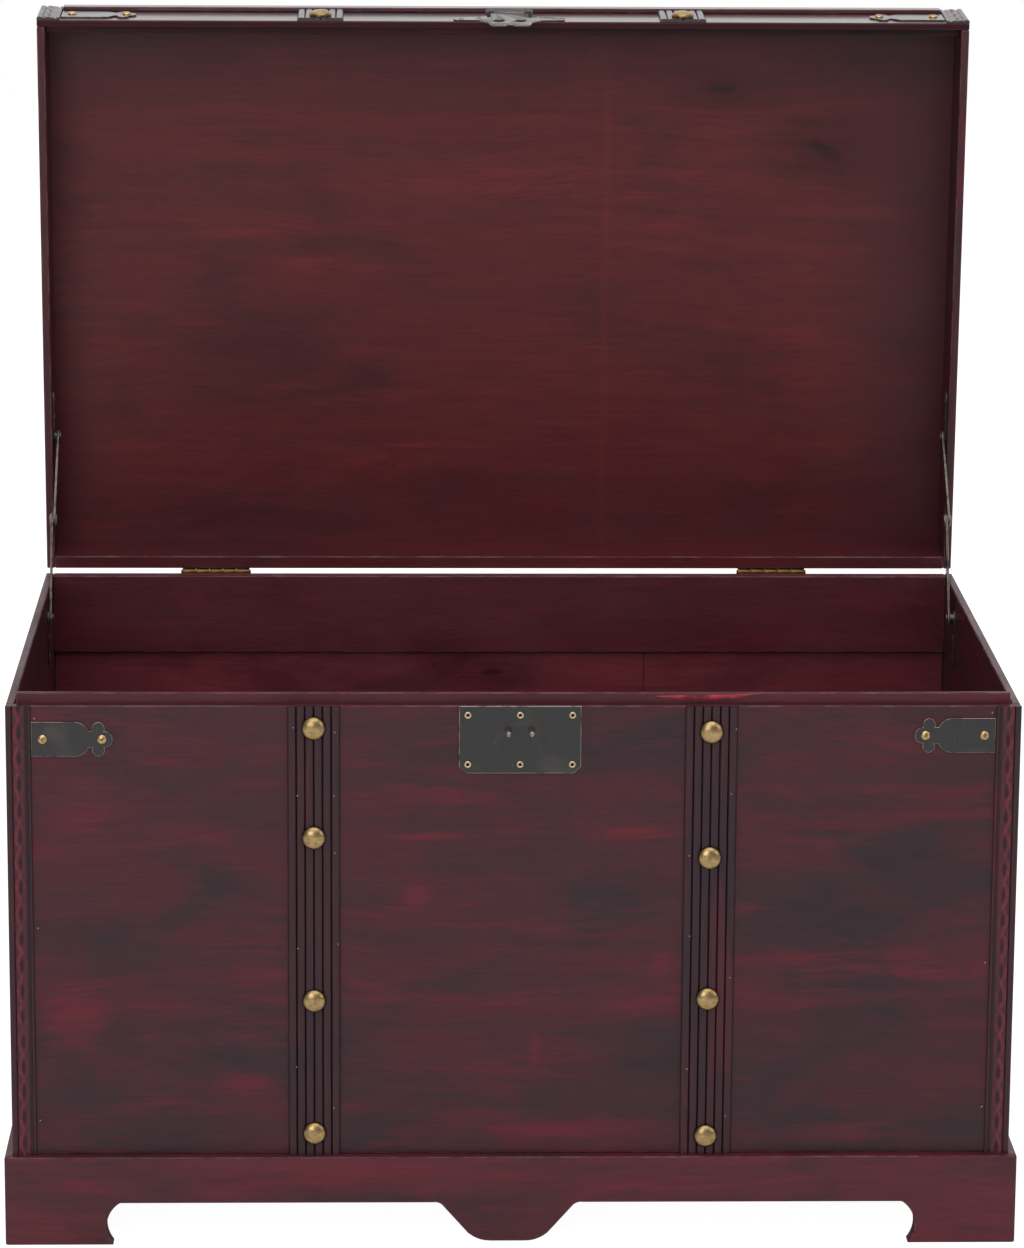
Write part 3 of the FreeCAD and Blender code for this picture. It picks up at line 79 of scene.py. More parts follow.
class ChestSizes(bpy.types.PropertyGroup):
    """Sizes of the visible detail."""

    board_edge: length("Board edge", "Rounding along the boards' edges", 0.0009)
    plate_edge: length("Plate edge", "Rounding along the metal plates' edges", 0.00045)
    twist_length: length("Twist length", "Length of one eye of the carved twist", 0.0172)
    twist_swing: length("Twist swing", "How far a strand swings from the middle of its band", 0.0026)
    strand_width: length("Strand width", "Width of a strand of the carved twist", 0.0032)
    relief: length("Relief", "Height of the carved twist above its ground", 0.0011)
    outer_bead: length("Outer bead", "Width of the round bead on a corner moulding's outer side", 0.0040)
    inner_bead: length("Inner bead", "Width of the bead on a corner moulding's inner side", 0.0022)
    bead_gap: length("Bead gap", "Sunk gap between the carved twist and the inner bead", 0.0013)
    eye_width: length("Eye width", "Half width of the sunk eyes between the strands", 0.0017)
    reed_crown: length("Reed crown", "How far a reed's middle stands above its sides", 0.0004)
    groove_depth: length("Groove depth", "Depth of the grooves between two reeds", 0.0013)
    groove_width: length("Groove width", "Half width of the grooves between two reeds", 0.0006)
    corner_width: length("Corner width", "Half width of the grooves along a batten's sides", 0.0009)
    brad_radius: length("Brad radius", "Radius of the small brads in the trim", 0.00055)
    screw_slot: length("Screw slot", "Width of the slot in a screw head", 0.0007)
    sliver_start: length("Sliver start", "Where the torn sliver starts, right of the middle", 0.088)
    sliver_length: length("Sliver length", "Length of the torn sliver", 0.072)
    sliver_width: length("Sliver width", "Greatest width of the torn sliver", 0.0030)


class ChestColours(bpy.types.PropertyGroup):
    """Colours of the finishes."""

    stain_dark: colour("Dark stain", "Blackish clouds in the stain", (47, 29, 36))
    stain_mid: colour("Stain", "Main colour of the stained wood", (74, 25, 35))
    stain_bright: colour("Bright stain", "Crimson patches where the stain is thin", (112, 20, 40))
    trim_stain: colour("Trim stain", "Main colour of the battens and beads", (58, 28, 35))
    carved_red: colour("Carved red", "Crimson of the carved ribbons", (110, 36, 50))
    inside_mid: colour("Inside stain", "Main colour inside the lid", (92, 31, 35))
    inside_dark: colour("Dark inside stain", "Shaded stain inside the lid", (71, 27, 32))
    inside_bright: colour("Bright inside stain", "Thin stain inside the lid", (118, 40, 38))
    deep_red: colour("Deep red", "Main colour inside the case", (82, 29, 38))
    # painted light: the back board below the back rail is coloured brighter than the rest of the case's
    # inside, in place of light that would brighten it
    back_stain: colour("Back stain", "Main colour of the case's back board", (110, 44, 52))
    plinth_stain: colour("Plinth stain", "Main colour of the plinth", (92, 32, 42))
    worn_edge: colour("Worn edge", "Edges where the stain has rubbed off", (96, 70, 74))
    torn: colour("Torn wood", "Splintered wood under the stain", (176, 58, 70))
    plate: colour("Plate", "Blackened steel of the plates", (40, 38, 38))
    plate_worn: colour("Worn plate", "Bright edges of the plates", (150, 136, 126))
    brass: colour("Brass", "Brass nails", (186, 158, 112))
    brass_dark: colour("Tarnished brass", "Darkened brass in the hollows", (84, 62, 34))
    hinge_brass: colour("Hinge brass", "Darkened brass of the hinges", (96, 74, 42))
    rivet_ring: colour("Rivet ring", "Pale rolled rings of the rivets", (212, 194, 158))
    steel: colour("Steel", "Screws and studs", (150, 140, 134))
    floor: colour("Floor", "Studio floor", (238, 238, 238))


def sizes():
    return bpy.context.scene.chest_sizes


def colours():
    return bpy.context.scene.chest_colours


# ---- the lid's frame


def open_lid(points):
    """Turns points of the shut lid, counted from the hinge axis, to where the open lid has them."""
    return points @ LID_TURN + AXIS


def shut_lid(points):
    """The inverse of open_lid."""
    return (points - AXIS) @ LID_TURN.T


def node_points(node):
    """The corners of a CAD node's triangles, where they stand in the frame."""
    mesh = frame["nodes"][node].data
    flat = np.empty(len(mesh.vertices) * 3, dtype=np.float32)
    mesh.vertices.foreach_get("co", flat)
    return flat.reshape(-1, 3).astype(float)


def own_box(node, lid):
    """Lowest and highest corner of a node in its own frame: the shut lid's, or the case's."""
    points = node_points(node)
    points = shut_lid(points) if lid else points
    return points.min(axis=0), points.max(axis=0)


# ---- numpy surfaces


def placed(name, data):
    """A new object of the data, in the scene."""
    thing = bpy.data.objects.new(name, data)
    bpy.context.scene.collection.objects.link(thing)
    return thing


def add_piece(name, points, faces, lid, slot, materials, replaces=(), marks=None, smooth=35.0, mats=None):
    """A mesh object from arrays, with its marks as point attributes, riding on the lid or the case.

    A lid's piece is given as on the shut lid and turned to where the open lid has it. materials are names
    for finish, and mats holds each face's number among them. smooth is the angle in degrees from which an
    edge is sharp.
    """
    points = open_lid(points) if lid else points
    body = "lid" if lid else "case"
    mesh = bpy.data.meshes.new(name)
    mesh.from_pydata(points.tolist(), [], [tuple(map(int, f)) for f in faces])
    for key, values in (marks or {}).items():
        layer = mesh.attributes.new(key, "FLOAT", "POINT")
        layer.data.foreach_set("value", np.asarray(values, dtype=np.float32))
    for material in materials:
        mesh.materials.append(finish(material))
    if mats is not None:
        mesh.polygons.foreach_set("material_index", np.asarray(mats, dtype=np.int32))
    mesh.update()
    piece = placed(name, mesh)
    mesh.polygons.foreach_set("use_smooth", np.ones(len(mesh.polygons), dtype=bool))
    mesh.set_sharp_from_angle(angle=math.radians(smooth))
    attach(piece, body)
    if replaces:
        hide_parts(*replaces)
    return piece


def grid_faces(rows, columns, wrap=False):
    """Quads of a grid of rows by columns points, its columns joined round if wrap is set."""
    r, c = np.meshgrid(np.arange(rows - 1), np.arange(columns if wrap else columns - 1), indexing="ij")
    nxt = (c + 1) % columns
    return np.stack((r * columns + c, r * columns + nxt, (r + 1) * columns + nxt, (r + 1) * columns + c),
                    axis=-1).reshape(-1, 4)


def swept(sections):
    """A closed profile at each station of a path, (stations, points, 3), with a face over either end."""
    rows, columns = sections.shape[:2]
    faces = grid_faces(rows, columns, wrap=True).tolist()
    faces.append(range(columns)[::-1])
    faces.append(range((rows - 1) * columns, rows * columns))
    return sections.reshape(-1, 3), faces


def turned(profile, around=28):
    """A surface of revolution about the local Z axis.

    The profile is a list of (radius, height); a radius of 0 closes the surface in one point.
    """
    angle = np.linspace(0, 2 * np.pi, around, endpoint=False)
    points, faces, start, last = [], [], 0, []
    for radius, height in profile:
        count = around if radius > 0 else 1
        ring = np.column_stack((radius * np.cos(angle), radius * np.sin(angle), np.full(around, height)))
        points.append(ring[:count])
        here = start + np.arange(around) % count
        sides = [here, np.roll(here, -1)] if count > 1 else [here]
        if last:
            faces += np.stack(last + sides[::-1], axis=-1).tolist()
        start += count
        last = sides
    return np.concatenate(points), faces


def to_direction(points, origin, axis, across=(0, 0, 1)):
    """Local Z goes along axis and local Y as near as may be along across, from the origin."""
    w = np.asarray(axis, float) / np.linalg.norm(axis)
    v = np.asarray(across, float) - np.dot(across, w) * w
    v /= np.linalg.norm(v)
    u = np.cross(v, w)
    return np.asarray(origin) + points @ np.array([u, v, w])


def on_front(points, low, high):
    """Stands a round head on the front, in the middle of the box that it takes the place of."""
    return to_direction(points, ((low[0] + high[0]) / 2, high[1], (low[2] + high[2]) / 2), OUTWARD)


def joined(pieces):
    """Several (points, faces) as one."""
    points, faces, start = [], [], 0
    for p, f in pieces:
        points.append(p)
        faces += [tuple(i + start for i in face) for face in f]
        start += len(p)
    return np.concatenate(points), faces


def islands(node, lid):
    """Lowest corner, highest corner and points of each separate solid of a CAD node, in its own frame.

    Triangles that share a corner belong together: each corner takes the lowest number among its
    neighbours' until nothing changes.
    """
    mesh = frame["nodes"][node].data
    key, label = np.unique(np.round(node_points(node) / MERGE).astype(np.int64), axis=0, return_inverse=True)
    corners = np.empty(len(mesh.loops), dtype=np.int32)
    mesh.loops.foreach_get("vertex_index", corners)
    triangles = label.ravel()[corners].reshape(-1, 3)
    group = np.arange(len(key))
    while True:
        lowest = group[triangles].min(axis=1)
        new = group.copy()
        for k in range(3):
            np.minimum.at(new, triangles[:, k], lowest)
        new = new[new]
        if (new == group).all():
            break
        group = new
    places = shut_lid(key * MERGE) if lid else key * MERGE
    solids = [places[group == number] for number in np.unique(group[triangles])]
    return [(own.min(axis=0), own.max(axis=0), own) for own in solids]


def ripple(x, y, seed):
    """A smooth uneven value of two coordinates, from a few sines of unlike period and phase."""
    rng = np.random.default_rng(seed)
    total = np.zeros(np.broadcast(x, y).shape)
    for _ in range(7):
        kx, ky, phase = rng.uniform(0.4, 2.2), rng.uniform(0.4, 2.2), rng.uniform(0, 6.28)
        total += np.sin(kx * x + ky * y * rng.choice((-1, 1)) + phase)
    return total / 7


# ---- materials


class Graph:
    """Short calls for the nodes of a new material, or of a world."""

    def __init__(self, name, world=None):
        self.owner = world or bpy.data.materials.new(name)
        self.owner.use_nodes = True
        self.tree = self.owner.node_tree
        self.tree.nodes.clear()
        self.out = self.add("OutputWorld" if world else "OutputMaterial")
        self.coords = self.add("TexCoord").outputs["Generated" if world else "Object"]

    def add(self, kind, sockets=None, **settings):
        node = self.tree.nodes.new("ShaderNode" + kind)
        for key, value in settings.items():
            setattr(node, key, value)
        for key, value in (sockets or {}).items():
            if isinstance(value, bpy.types.NodeSocket):
                self.tree.links.new(value, node.inputs[key])
            else:
                node.inputs[key].default_value = value
        return node

    def mapped(self, vector, **sockets):
        return self.add("Mapping", {"Vector": vector, **sockets}).outputs["Vector"]

    def noise(self, vector, scale=1.0, detail=3.0, roughness=0.5, distortion=0.0):
        return self.add("TexNoise", {"Vector": vector, "Scale": scale, "Detail": detail,
                                     "Roughness": roughness, "Distortion": distortion}).outputs["Fac"]

    def fade(self, value, low, high, to_low=0.0, to_high=1.0):
        """Brings value from low..high to to_low..to_high and clamps it."""
        return self.add("MapRange", {"Value": value, "From Min": low, "From Max": high,
                                     "To Min": to_low, "To Max": to_high}).outputs["Result"]

    def math(self, operation, a, b=0.0):
        return self.add("Math", {0: a, 1: b}, operation=operation).outputs["Value"]

    def mix(self, factor, a, b, blend="MIX"):
        node = self.add("Mix", {"Factor": factor}, data_type="RGBA", blend_type=blend)
        for key, value in (("A", a), ("B", b)):
            socket = next(s for s in node.inputs if s.name == key and s.type == "RGBA")
            if isinstance(value, bpy.types.NodeSocket):
                self.tree.links.new(value, socket)
            else:
                socket.default_value = (*value, 1)
        return next(s for s in node.outputs if s.type == "RGBA")

    def tint(self, tone, colour, value, low, high, strength=1.0, blend="MIX"):
        """Mixes a colour over the tone: none of it where value is low, and strength where it is high."""
        return self.mix(self.fade(value, low, high, 0.0, strength), tone, colour, blend)

    def attribute(self, name):
        return self.add("Attribute", attribute_name=name, attribute_type="GEOMETRY").outputs["Fac"]

    def bump(self, height, strength):
        """A bump of a fifth of a millimetre."""
        sockets = {"Height": height, "Strength": strength, "Distance": 0.0002}
        return self.add("Bump", sockets).outputs["Normal"]

    def blend(self, share, first, second):
        """The first shader where share is 0, the second where it is 1."""
        return self.add("MixShader", {0: share, 1: first, 2: second}).outputs[0]

    def show(self, shader):
        self.tree.links.new(shader, self.out.inputs["Surface"])

    def finish(self, **sockets):
        """A Principled shader with these sockets, by name with underscores for spaces."""
        self.show(self.add("BsdfPrincipled", {k.replace("_", " "): v for k, v in sockets.items()}).outputs[0])
        return self.owner


def scaled(tone, share):
    """A colour with each of its values times share."""
    return tuple(value * share for value in tone)


GRAIN = {"x": (0, 1, 1), "y": (1, 0, 1), "z": (1, 1, 0)}  # for each axis, 0 along the grain and 1 across it


def along(axis, lengthwise, crosswise):
    """A scale vector with its first number along the grain's axis."""
    return tuple((lengthwise, crosswise)[i] for i in GRAIN[axis])


class WoodGraph(Graph):
    """A board's nodes: its coordinates waver a little and are stretched along its grain."""

    def __init__(self, name, axis, shift):
        super().__init__(name)
        self.axis = axis
        wobble = self.add("TexNoise", {"Vector": self.coords, "Scale": 5.0, "Detail": 2.0}).outputs["Color"]
        small = self.add("VectorMath", {0: wobble, "Scale": 0.02}, operation="SCALE").outputs["Vector"]
        self.here = self.add("VectorMath", {0: self.coords, 1: small}, operation="ADD").outputs["Vector"]
        self.base = self.mapped(self.here, Location=shift)
        self.place = self.add("SeparateXYZ", {"Vector": self.coords}).outputs

    def figure(self, lengthwise, crosswise, **settings):
        """Noise so many units to the metre along the grain and across it."""
        scale = along(self.axis, lengthwise, crosswise)
        return self.noise(self.mapped(self.base, Scale=scale), **settings)

    def distance(self, x, z, half_length, half_height):
        """Distance from a point of the board's face, where 1 is the rim of an ellipse."""
        flat = (1 / half_length, 0.0, 1 / half_height)
        place = (-(x + 0.01) * flat[0], 0, -(z + 0.01) * flat[2])
        local = self.mapped(self.here, Scale=flat, Location=place)
        return self.add("VectorMath", {0: local}, operation="LENGTH").outputs["Value"]

    def wiped(self, wisps, ragged, strokes):
        """Adds to the wisps the places where the stain is wiped thin, each with a brushed rim."""
        brushed = self.fade(ragged, 0.25, 0.75, -0.45, 0.45) if strokes else None
        for *ellipse, strength in strokes:
            away = self.math("ADD", self.distance(*ellipse), brushed)
            wisps = self.math("MAXIMUM", wisps, self.fade(away, 1.05, 0.35, 0.0, strength))
        return wisps

    def knotted(self, tone, knots, shadow):
        """Darkens the tone to a ragged eye in each knot, with rings and a soft halo round it."""
        for ellipse in knots:
            ragged = self.fade(self.figure(70, 90, detail=3.0), 0.2, 0.8, -0.5, 0.5)
            away = self.math("ADD", self.distance(*ellipse), ragged)
            eye = self.fade(away, 0.9, 0.2, 0.0, 0.9)
            waves = self.fade(self.math("SINE", self.math("MULTIPLY", away, 7.0)), -0.1, 1.0)
            rings = self.math("MULTIPLY", waves, self.fade(away, 2.6, 0.8, 0.0, 0.6))
            halo = self.fade(away, 3.2, 0.8, 0.0, 0.45)
            tone = self.mix(self.math("MAXIMUM", self.math("MAXIMUM", eye, rings), halo), tone, shadow)
        return tone


def stained_wood(name, axis, mid, dark, bright, patch=0.5, cloud=0.5, shift=(0, 0, 0), knots=(), strokes=(),
                 seams=(), relief=None, fades=(), gloss=0.35, coat=0.0):
    """Stain over fine veneer: soft blackish clouds, thin crimson wisps, streaks along the grain, pores.

    patch and cloud set how much of the wood the crimson and the blackish areas take. Knots and strokes
    are (x, z, half length, half height) in metres: dark eyes with rings, and places where the stain is
    wiped thin, with their strength as a fifth number. Seams are (x, width, colour, strength) of lines
    across the grain. Shade fades are (axis, from, to, strength, colour) and paint shade over one side
    of a board, and the first also dulls its coat. relief is the colour of what is carved proud, and
    what is sunk there gets painted shade.
    """
    g = WoodGraph(name, axis, shift)
    clouds = g.figure(7.0, 17.0, detail=6.0, roughness=0.60, distortion=0.5)
    tone = g.tint(mid, dark, clouds, 0.40 + 0.3 * cloud, 0.22 + 0.3 * cloud)
    ragged = g.figure(22.0, 130.0, detail=5.0, roughness=0.65, distortion=1.2)
    broad = g.figure(3.5, 17.0, roughness=0.55, distortion=0.3)
    wisps = g.math("MULTIPLY", g.fade(broad, 0.66 - 0.2 * patch, 0.80 - 0.2 * patch, 0.0, 0.8),
                   g.fade(ragged, 0.42, 0.66))
    tone = g.mix(g.wiped(wisps, ragged, strokes), tone, bright)
    fine = g.figure(24.0, 600.0, roughness=0.6)
    tone = g.tint(tone, dark, fine, 0.35, 0.75, 0.30, "MULTIPLY")
    tone = g.tint(tone, dark, g.figure(6.0, 90.0, detail=5.0, roughness=0.65), 0.46, 0.66, 0.55)
    thin = g.figure(8.0, 60.0, detail=5.0, roughness=0.7, distortion=0.4)
    tone = g.tint(tone, bright, thin, 0.54, 0.74, 0.40)
    pores = g.fade(g.figure(100.0, 2100.0, detail=2.0), 0.60, 0.70)
    tone = g.mix(g.math("MULTIPLY", pores, 0.2), tone, dark)
    shadow = scaled(dark, 0.30)
    tone = g.knotted(tone, knots, shadow)
    for x, width, line, strength in seams:
        off = g.math("ABSOLUTE", g.math("SUBTRACT", g.place["X"], x))
        tone = g.tint(tone, line, off, width, width * 0.3, strength)
    # painted shade: each fade darkens one side of the board towards its colour
    for side, start, end, strength, shade in fades:
        tone = g.tint(tone, shade, g.place[side], start, end, strength)
    if coat and fades:
        side, start, end = fades[0][:3]
        gloss = g.fade(g.place[side], start, end, gloss, 0.15)
        coat = g.fade(g.place[side], start, end, coat, 0.0)
    if relief is not None:
        raised = g.attribute("raised")
        flecks = g.fade(g.figure(300.0, 420.0), 0.35, 0.65, 0.35, 0.95)
        tone = g.mix(g.math("MULTIPLY", g.fade(raised, 0.50, 0.95), flecks), tone, relief)
        # painted shade: where raised is low, in the sunk eyes, gaps and grooves, the tone darkens to the
        # shadow colour
        tone = g.tint(tone, shadow, raised, 0.30, 0.05, 0.55)
    smear = g.figure(14.0, 30.0, detail=4.0)
    height = g.math("SUBTRACT", g.math("MULTIPLY", fine, 0.5), pores)
    return g.finish(Base_Color=tone, Roughness=g.fade(smear, 0.3, 0.7, 0.34, 0.48), Specular_IOR_Level=gloss,
                    Coat_Weight=coat, Coat_Roughness=0.16, Normal=g.bump(height, 0.3))


def worn_wood(name, axis, mid, worn):
    """Board edges: the stain rubbed through in places to a greyish, paler wood."""
    g = Graph(name)
    rubbed = g.noise(g.mapped(g.coords, Scale=along(axis, 60, 160)), detail=4.0, roughness=0.7)
    return g.finish(Base_Color=g.tint(mid, worn, rubbed, 0.40, 0.66), Roughness=0.5,
                    Specular_IOR_Level=0.25, Normal=g.bump(rubbed, 0.3))


def blackened_steel(name, base, worn):
    """Dark plate: a faint mottle, a few rubbed clouds and fine scratches under thin oil."""
    g = Graph(name)
    mottle = g.noise(g.coords, scale=95.0, detail=5.0, roughness=0.65)
    cloudy = g.noise(g.coords, scale=34.0, distortion=0.5)
    scratch = g.noise(g.mapped(g.coords, Scale=(1400, 1400, 110), Rotation=(0, 0.5, 0)), detail=2.0)
    tone = g.tint(base, scaled(base, 0.6), mottle, 0.3, 0.75, 0.22)
    tone = g.tint(tone, worn, cloudy, 0.55, 0.80, 0.14)
    tone = g.tint(tone, worn, scratch, 0.70, 0.76, 0.22)
    return g.finish(Base_Color=tone, Metallic=0.6, Roughness=g.fade(cloudy, 0.3, 0.7, 0.30, 0.42),
                    Specular_IOR_Level=0.4, Coat_Weight=0.7, Coat_Roughness=0.12,
                    Normal=g.bump(mottle, 0.2))


def rubbed_edge(name, worn, base):
    """The plates' edges: bare metal where hands and cloth have rubbed them."""
    g = Graph(name)
    rub = g.noise(g.coords, scale=180.0)
    return g.finish(Base_Color=g.tint(base, worn, rub, 0.30, 0.52), Metallic=0.5,
                    Roughness=g.fade(rub, 0.3, 0.7, 0.5, 0.34))


def aged_brass(name, bright, dark, scale=240.0, rim=(0.72, 1.0)):
    """Brass with brown tarnish in soft spots, and darker from the first to the second number of rim.

    The rim mark runs from 0 in a head's middle to 1 at its edge.
    """
    g = Graph(name)
    spots = g.noise(g.coords, scale=scale, detail=4.0, roughness=0.6, distortion=0.3)
    rubbed = g.noise(g.mapped(g.coords, Scale=(240, 240, 900)))
    edge = g.fade(g.attribute("rim"), *rim, 0.0, 0.9)
    tarnish = g.math("MAXIMUM", g.fade(spots, 0.46, 0.76, 0.0, 0.55), edge)
    tone = g.tint(g.mix(tarnish, bright, dark), dark, rubbed, 0.45, 0.7, 0.25)
    return g.finish(Base_Color=tone, Metallic=1.0, Roughness=g.fade(spots, 0.3, 0.75, 0.24, 0.40),
                    Normal=g.bump(rubbed, 0.12))


def dull_steel(name, tone):
    """Plain steel with a slight brown bloom."""
    g = Graph(name)
    bloom = g.noise(g.coords, scale=420.0, detail=4.0)
    return g.finish(Base_Color=g.tint(tone, scaled(tone, 0.45), bloom, 0.45, 0.75, 0.5), Metallic=1.0,
                    Roughness=g.fade(bloom, 0.3, 0.7, 0.28, 0.5))


def painted_hollow_shade(name):
    """Painted shade for the inside of a hole: near black, with a faint speckle."""
    g = Graph(name)
    shade_speckle = g.noise(g.coords, scale=500.0)
    return g.finish(Base_Color=g.mix(shade_speckle, (0.004, 0.004, 0.004), (0.012, 0.010, 0.009)), Roughness=0.8,
                    Specular_IOR_Level=0.1)


_finishes = {}


def finish(name):
    """The material of that name, which is made once."""
    if name not in _finishes:
        _finishes[name] = make_finish(name)
    return _finishes[name]


def make_finish(name):
    """Builds the material of that name from the panel's colours."""
    c = {key: tuple(getattr(colours(), key)) for key in ChestColours.__annotations__}
    mid, dark, bright = c["stain_mid"], c["stain_dark"], c["stain_bright"]
    trim, deep, plinth = c["trim_stain"], c["deep_red"], c["plinth_stain"]
    inside = (c["inside_mid"], c["inside_dark"], c["inside_bright"])
    black = scaled(dark, 0.35)

    def wood(*recipe, **more):
        return lambda: stained_wood(name, *recipe, **more)

    def carved(relief, *recipe, **more):
        return wood("z", trim, dark, bright, 0.3, *recipe, relief=relief, **more)

    def other(kind, *recipe):
        return lambda: kind(name, *recipe)

    # painted shade: the skirt's face darkens to a shaded copy of its stain over the last 3 mm before its rim,
    # where its coat is also taken off
    rim_y = open_lid(own_box("lid_front_skirt", True)[0][None])[0][1]
    skirt_rim_shade = ("Y", rim_y + 0.003, rim_y + 0.0005, 0.85, scaled(mid, 0.45))
    recipes = {
        "stained_front": wood("x", mid, dark, bright, 0.35, strokes=FRONT_STROKES),
        "stained_skirt": wood("x", mid, dark, bright, 0.3, 0.5, (0.4, 0, 0.1), gloss=0.5, coat=0.9,
                              fades=(skirt_rim_shade,)),
        "stained_side": wood("y", mid, dark, bright, 0.5, 0.5, (0.3, 0, 0.2)),
        "stained_plinth": wood("x", plinth, dark, bright, 0.6, 0.4, (0.2, 0.1, 0.6), strokes=PLINTH_STROKES),
        "stained_plinth_side": wood("y", plinth, mid, bright, 0.5, 0.4, (0.5, 0.1, 0.6)),
        "stained_carving": carved(c["carved_red"], 0.5, (0.7, 0, 0)),
        "stained_lid_carving": carved(mid, 0.5, (0.7, 0, 0), gloss=0.5, coat=0.5),
        "stained_reeds": carved(trim, 0.6, (0.9, 0, 0.2)),
        "stained_lid_reeds": carved(trim, 0.6, (0.9, 0, 0.2), gloss=0.5, coat=0.6),
        "stained_lid_inside": wood("x", *inside, 0.45, 0.35, (0.1, 0, 0.4), knots=LID_KNOTS, fades=LID_SHADE_FADES,
                                   gloss=0.3, seams=((0.0745, 0.0040, inside[2], 0.16),)),
        "stained_lid_frame": wood("x", scaled(mid, 0.5), black, bright, 0.4, 0.4, (0.1, 0, 0.4), gloss=0.2),
        "stained_lid_side": wood("z", mid, dark, bright, 0.3, 0.5, (0.4, 0, 0.1)),
        "stained_back": wood("x", deep, scaled(deep, 0.7), bright, 0.3, 0.4, (0.6, 0, 0.3)),
        # painted light: the back board's brighter colour stands in for light on it
        "stained_lit_back_board": wood("x", c["back_stain"], deep, bright, 0.3, 0.4, (0.6, 0, 0.3),
                                   knots=BACK_KNOTS, seams=((0.1035, 0.0006, black, 0.9),)),
        **{f"worn_edge_{axis}": other(worn_wood, axis, mid, c["worn_edge"]) for axis in GRAIN},
        "dark_edge": other(worn_wood, "x", dark, mid),
        "torn_wood": other(worn_wood, "x", c["torn"], mid),
        "blackened_plate": other(blackened_steel, c["plate"], c["plate_worn"]),
        "rubbed_plate_edge": other(rubbed_edge, c["plate_worn"], c["plate"]),
        "aged_brass": other(aged_brass, c["brass"], c["brass_dark"]),
        "nail_brass": other(aged_brass, scaled(c["brass"], 1.2), c["brass_dark"], 700.0, (0.45, 0.05)),
        "hinge_brass": other(aged_brass, c["hinge_brass"], c["brass_dark"], 150.0),
        "rivet_brass": other(aged_brass, c["rivet_ring"], c["brass"], 500.0),
        "rivet_hollow": other(painted_hollow_shade),
        "dull_steel": other(dull_steel, c["steel"]),
    }
    return recipes[name]()


LID_KNOTS = (  # x, z, half length and half height
    (0.158, 0.709, 0.018, 0.007), (0.252, 0.730, 0.028, 0.010), (0.228, 0.667, 0.018, 0.014),
)
SHADE = (0.044, 0.010, 0.015)  # painted shade: the colour the lid's inside is darkened to at its borders
# painted shade on the lid's inside: darker towards the top under the liner, towards the bottom, and at both
# sides, most on the right
LID_SHADE_FADES = (
    ("Z", 0.685, 0.745, 0.70, SHADE), ("Z", 0.445, 0.395, 0.35, SHADE), ("X", 0.225, 0.310, 0.62, SHADE),
    ("X", -0.290, -0.318, 0.30, SHADE),
)
BACK_KNOTS = ((-0.003, 0.286, 0.016, 0.006),)
FRONT_STROKES = (  # x, z, half length, half height and strength of places where the stain is thin
    (-0.28, 0.15, 0.026, 0.024, 0.55), (-0.276, 0.294, 0.03, 0.022, 0.42),
    (-0.061, 0.302, 0.046, 0.008, 0.25), (0.043, 0.074, 0.066, 0.01, 0.5), (0.209, 0.073, 0.048, 0.008, 0.35),
    (-0.17, 0.107, 0.03, 0.01, 0.5), (0.077, 0.276, 0.034, 0.006, 0.45), (0.186, 0.192, 0.028, 0.008, 0.35),
    (0.255, 0.194, 0.026, 0.006, 0.35), (0.099, 0.188, 0.01, 0.012, 0.45),
    (-0.091, 0.175, 0.022, 0.007, 0.35), (-0.055, 0.276, 0.032, 0.003, 0.65),
    (0.016, 0.13, 0.006, 0.014, 0.45), (0.306, 0.18, 0.009, 0.018, 0.35), (-0.065, 0.236, 0.013, 0.01, 0.45),
)
PLINTH_STROKES = (
    (-0.12, 0.046, 0.12, 0.011, 0.45), (0.06, 0.044, 0.09, 0.01, 0.35), (-0.29, 0.04, 0.03, 0.01, 0.4),
)


def wear(node, *keys):
    """Gives a CAD node these finishes in place of its own."""
    piece = frame["nodes"][node]
    piece.data.materials.clear()
    for key in keys:
        piece.data.materials.append(finish(key))
    return piece


def dress(table, width, angle=30.0):
    """CAD nodes keep their shapes: flat facets are joined, and edges sharper than angle eased by width."""
    for finishes, nodes in table.items():
        for node in nodes:
            piece = wear(node, *finishes)
            weld = piece.modifiers.new("weld", "WELD")
            weld.merge_threshold = MERGE
            flat = piece.modifiers.new("flat", "DECIMATE")
            flat.decimate_type = "DISSOLVE"
            flat.angle_limit = math.radians(0.5)
            ease = piece.modifiers.new("ease", "BEVEL")
            ease.width = width
            ease.segments = 2
            ease.limit_method = "ANGLE"
            ease.angle_limit = math.radians(angle)
            ease.material = 1
            ease.harden_normals = True


# ---- boards


BOARDS = {  # the finish of a board's faces, the finish of its edges, and the boards
    ("stained_front", "worn_edge_x"): ("front_panel",),
    ("stained_back", "worn_edge_x"): ("front_lip", "back_rail", "bottom_board"),
    ("stained_lit_back_board", "worn_edge_x"): ("back_panel",),
    ("stained_side", "worn_edge_y"): ("side_panel_left", "side_panel_right"),
    ("stained_plinth", "worn_edge_x"): ("cleats_long", "plinth_front", "plinth_back"),
    ("stained_plinth_side", "worn_edge_y"): ("cleats_short", "plinth_left", "plinth_right"),
    ("stained_lid_inside", "worn_edge_x"): ("lid_top_board", "lid_back_skirt"),
    ("stained_skirt", "dark_edge"): ("lid_front_skirt",),
    ("stained_skirt", "worn_edge_x"): ("lid_front_cap",),
    ("stained_lid_frame", "dark_edge"): ("lid_front_liner",),
    ("stained_lid_side", "worn_edge_z"): ("lid_side_skirt_left", "lid_side_skirt_right"),
}


class CHEST_OT_boards(bpy.types.Operator):
    """Stain the boards of the case, plinth and lid and ease their edges"""

    bl_idname = "chest.boards"
    bl_label = "Boards"

    def execute(self, context):
        dress(BOARDS, sizes().board_edge)
        return {"FINISHED"}


# ---- carved mouldings and reeded battens


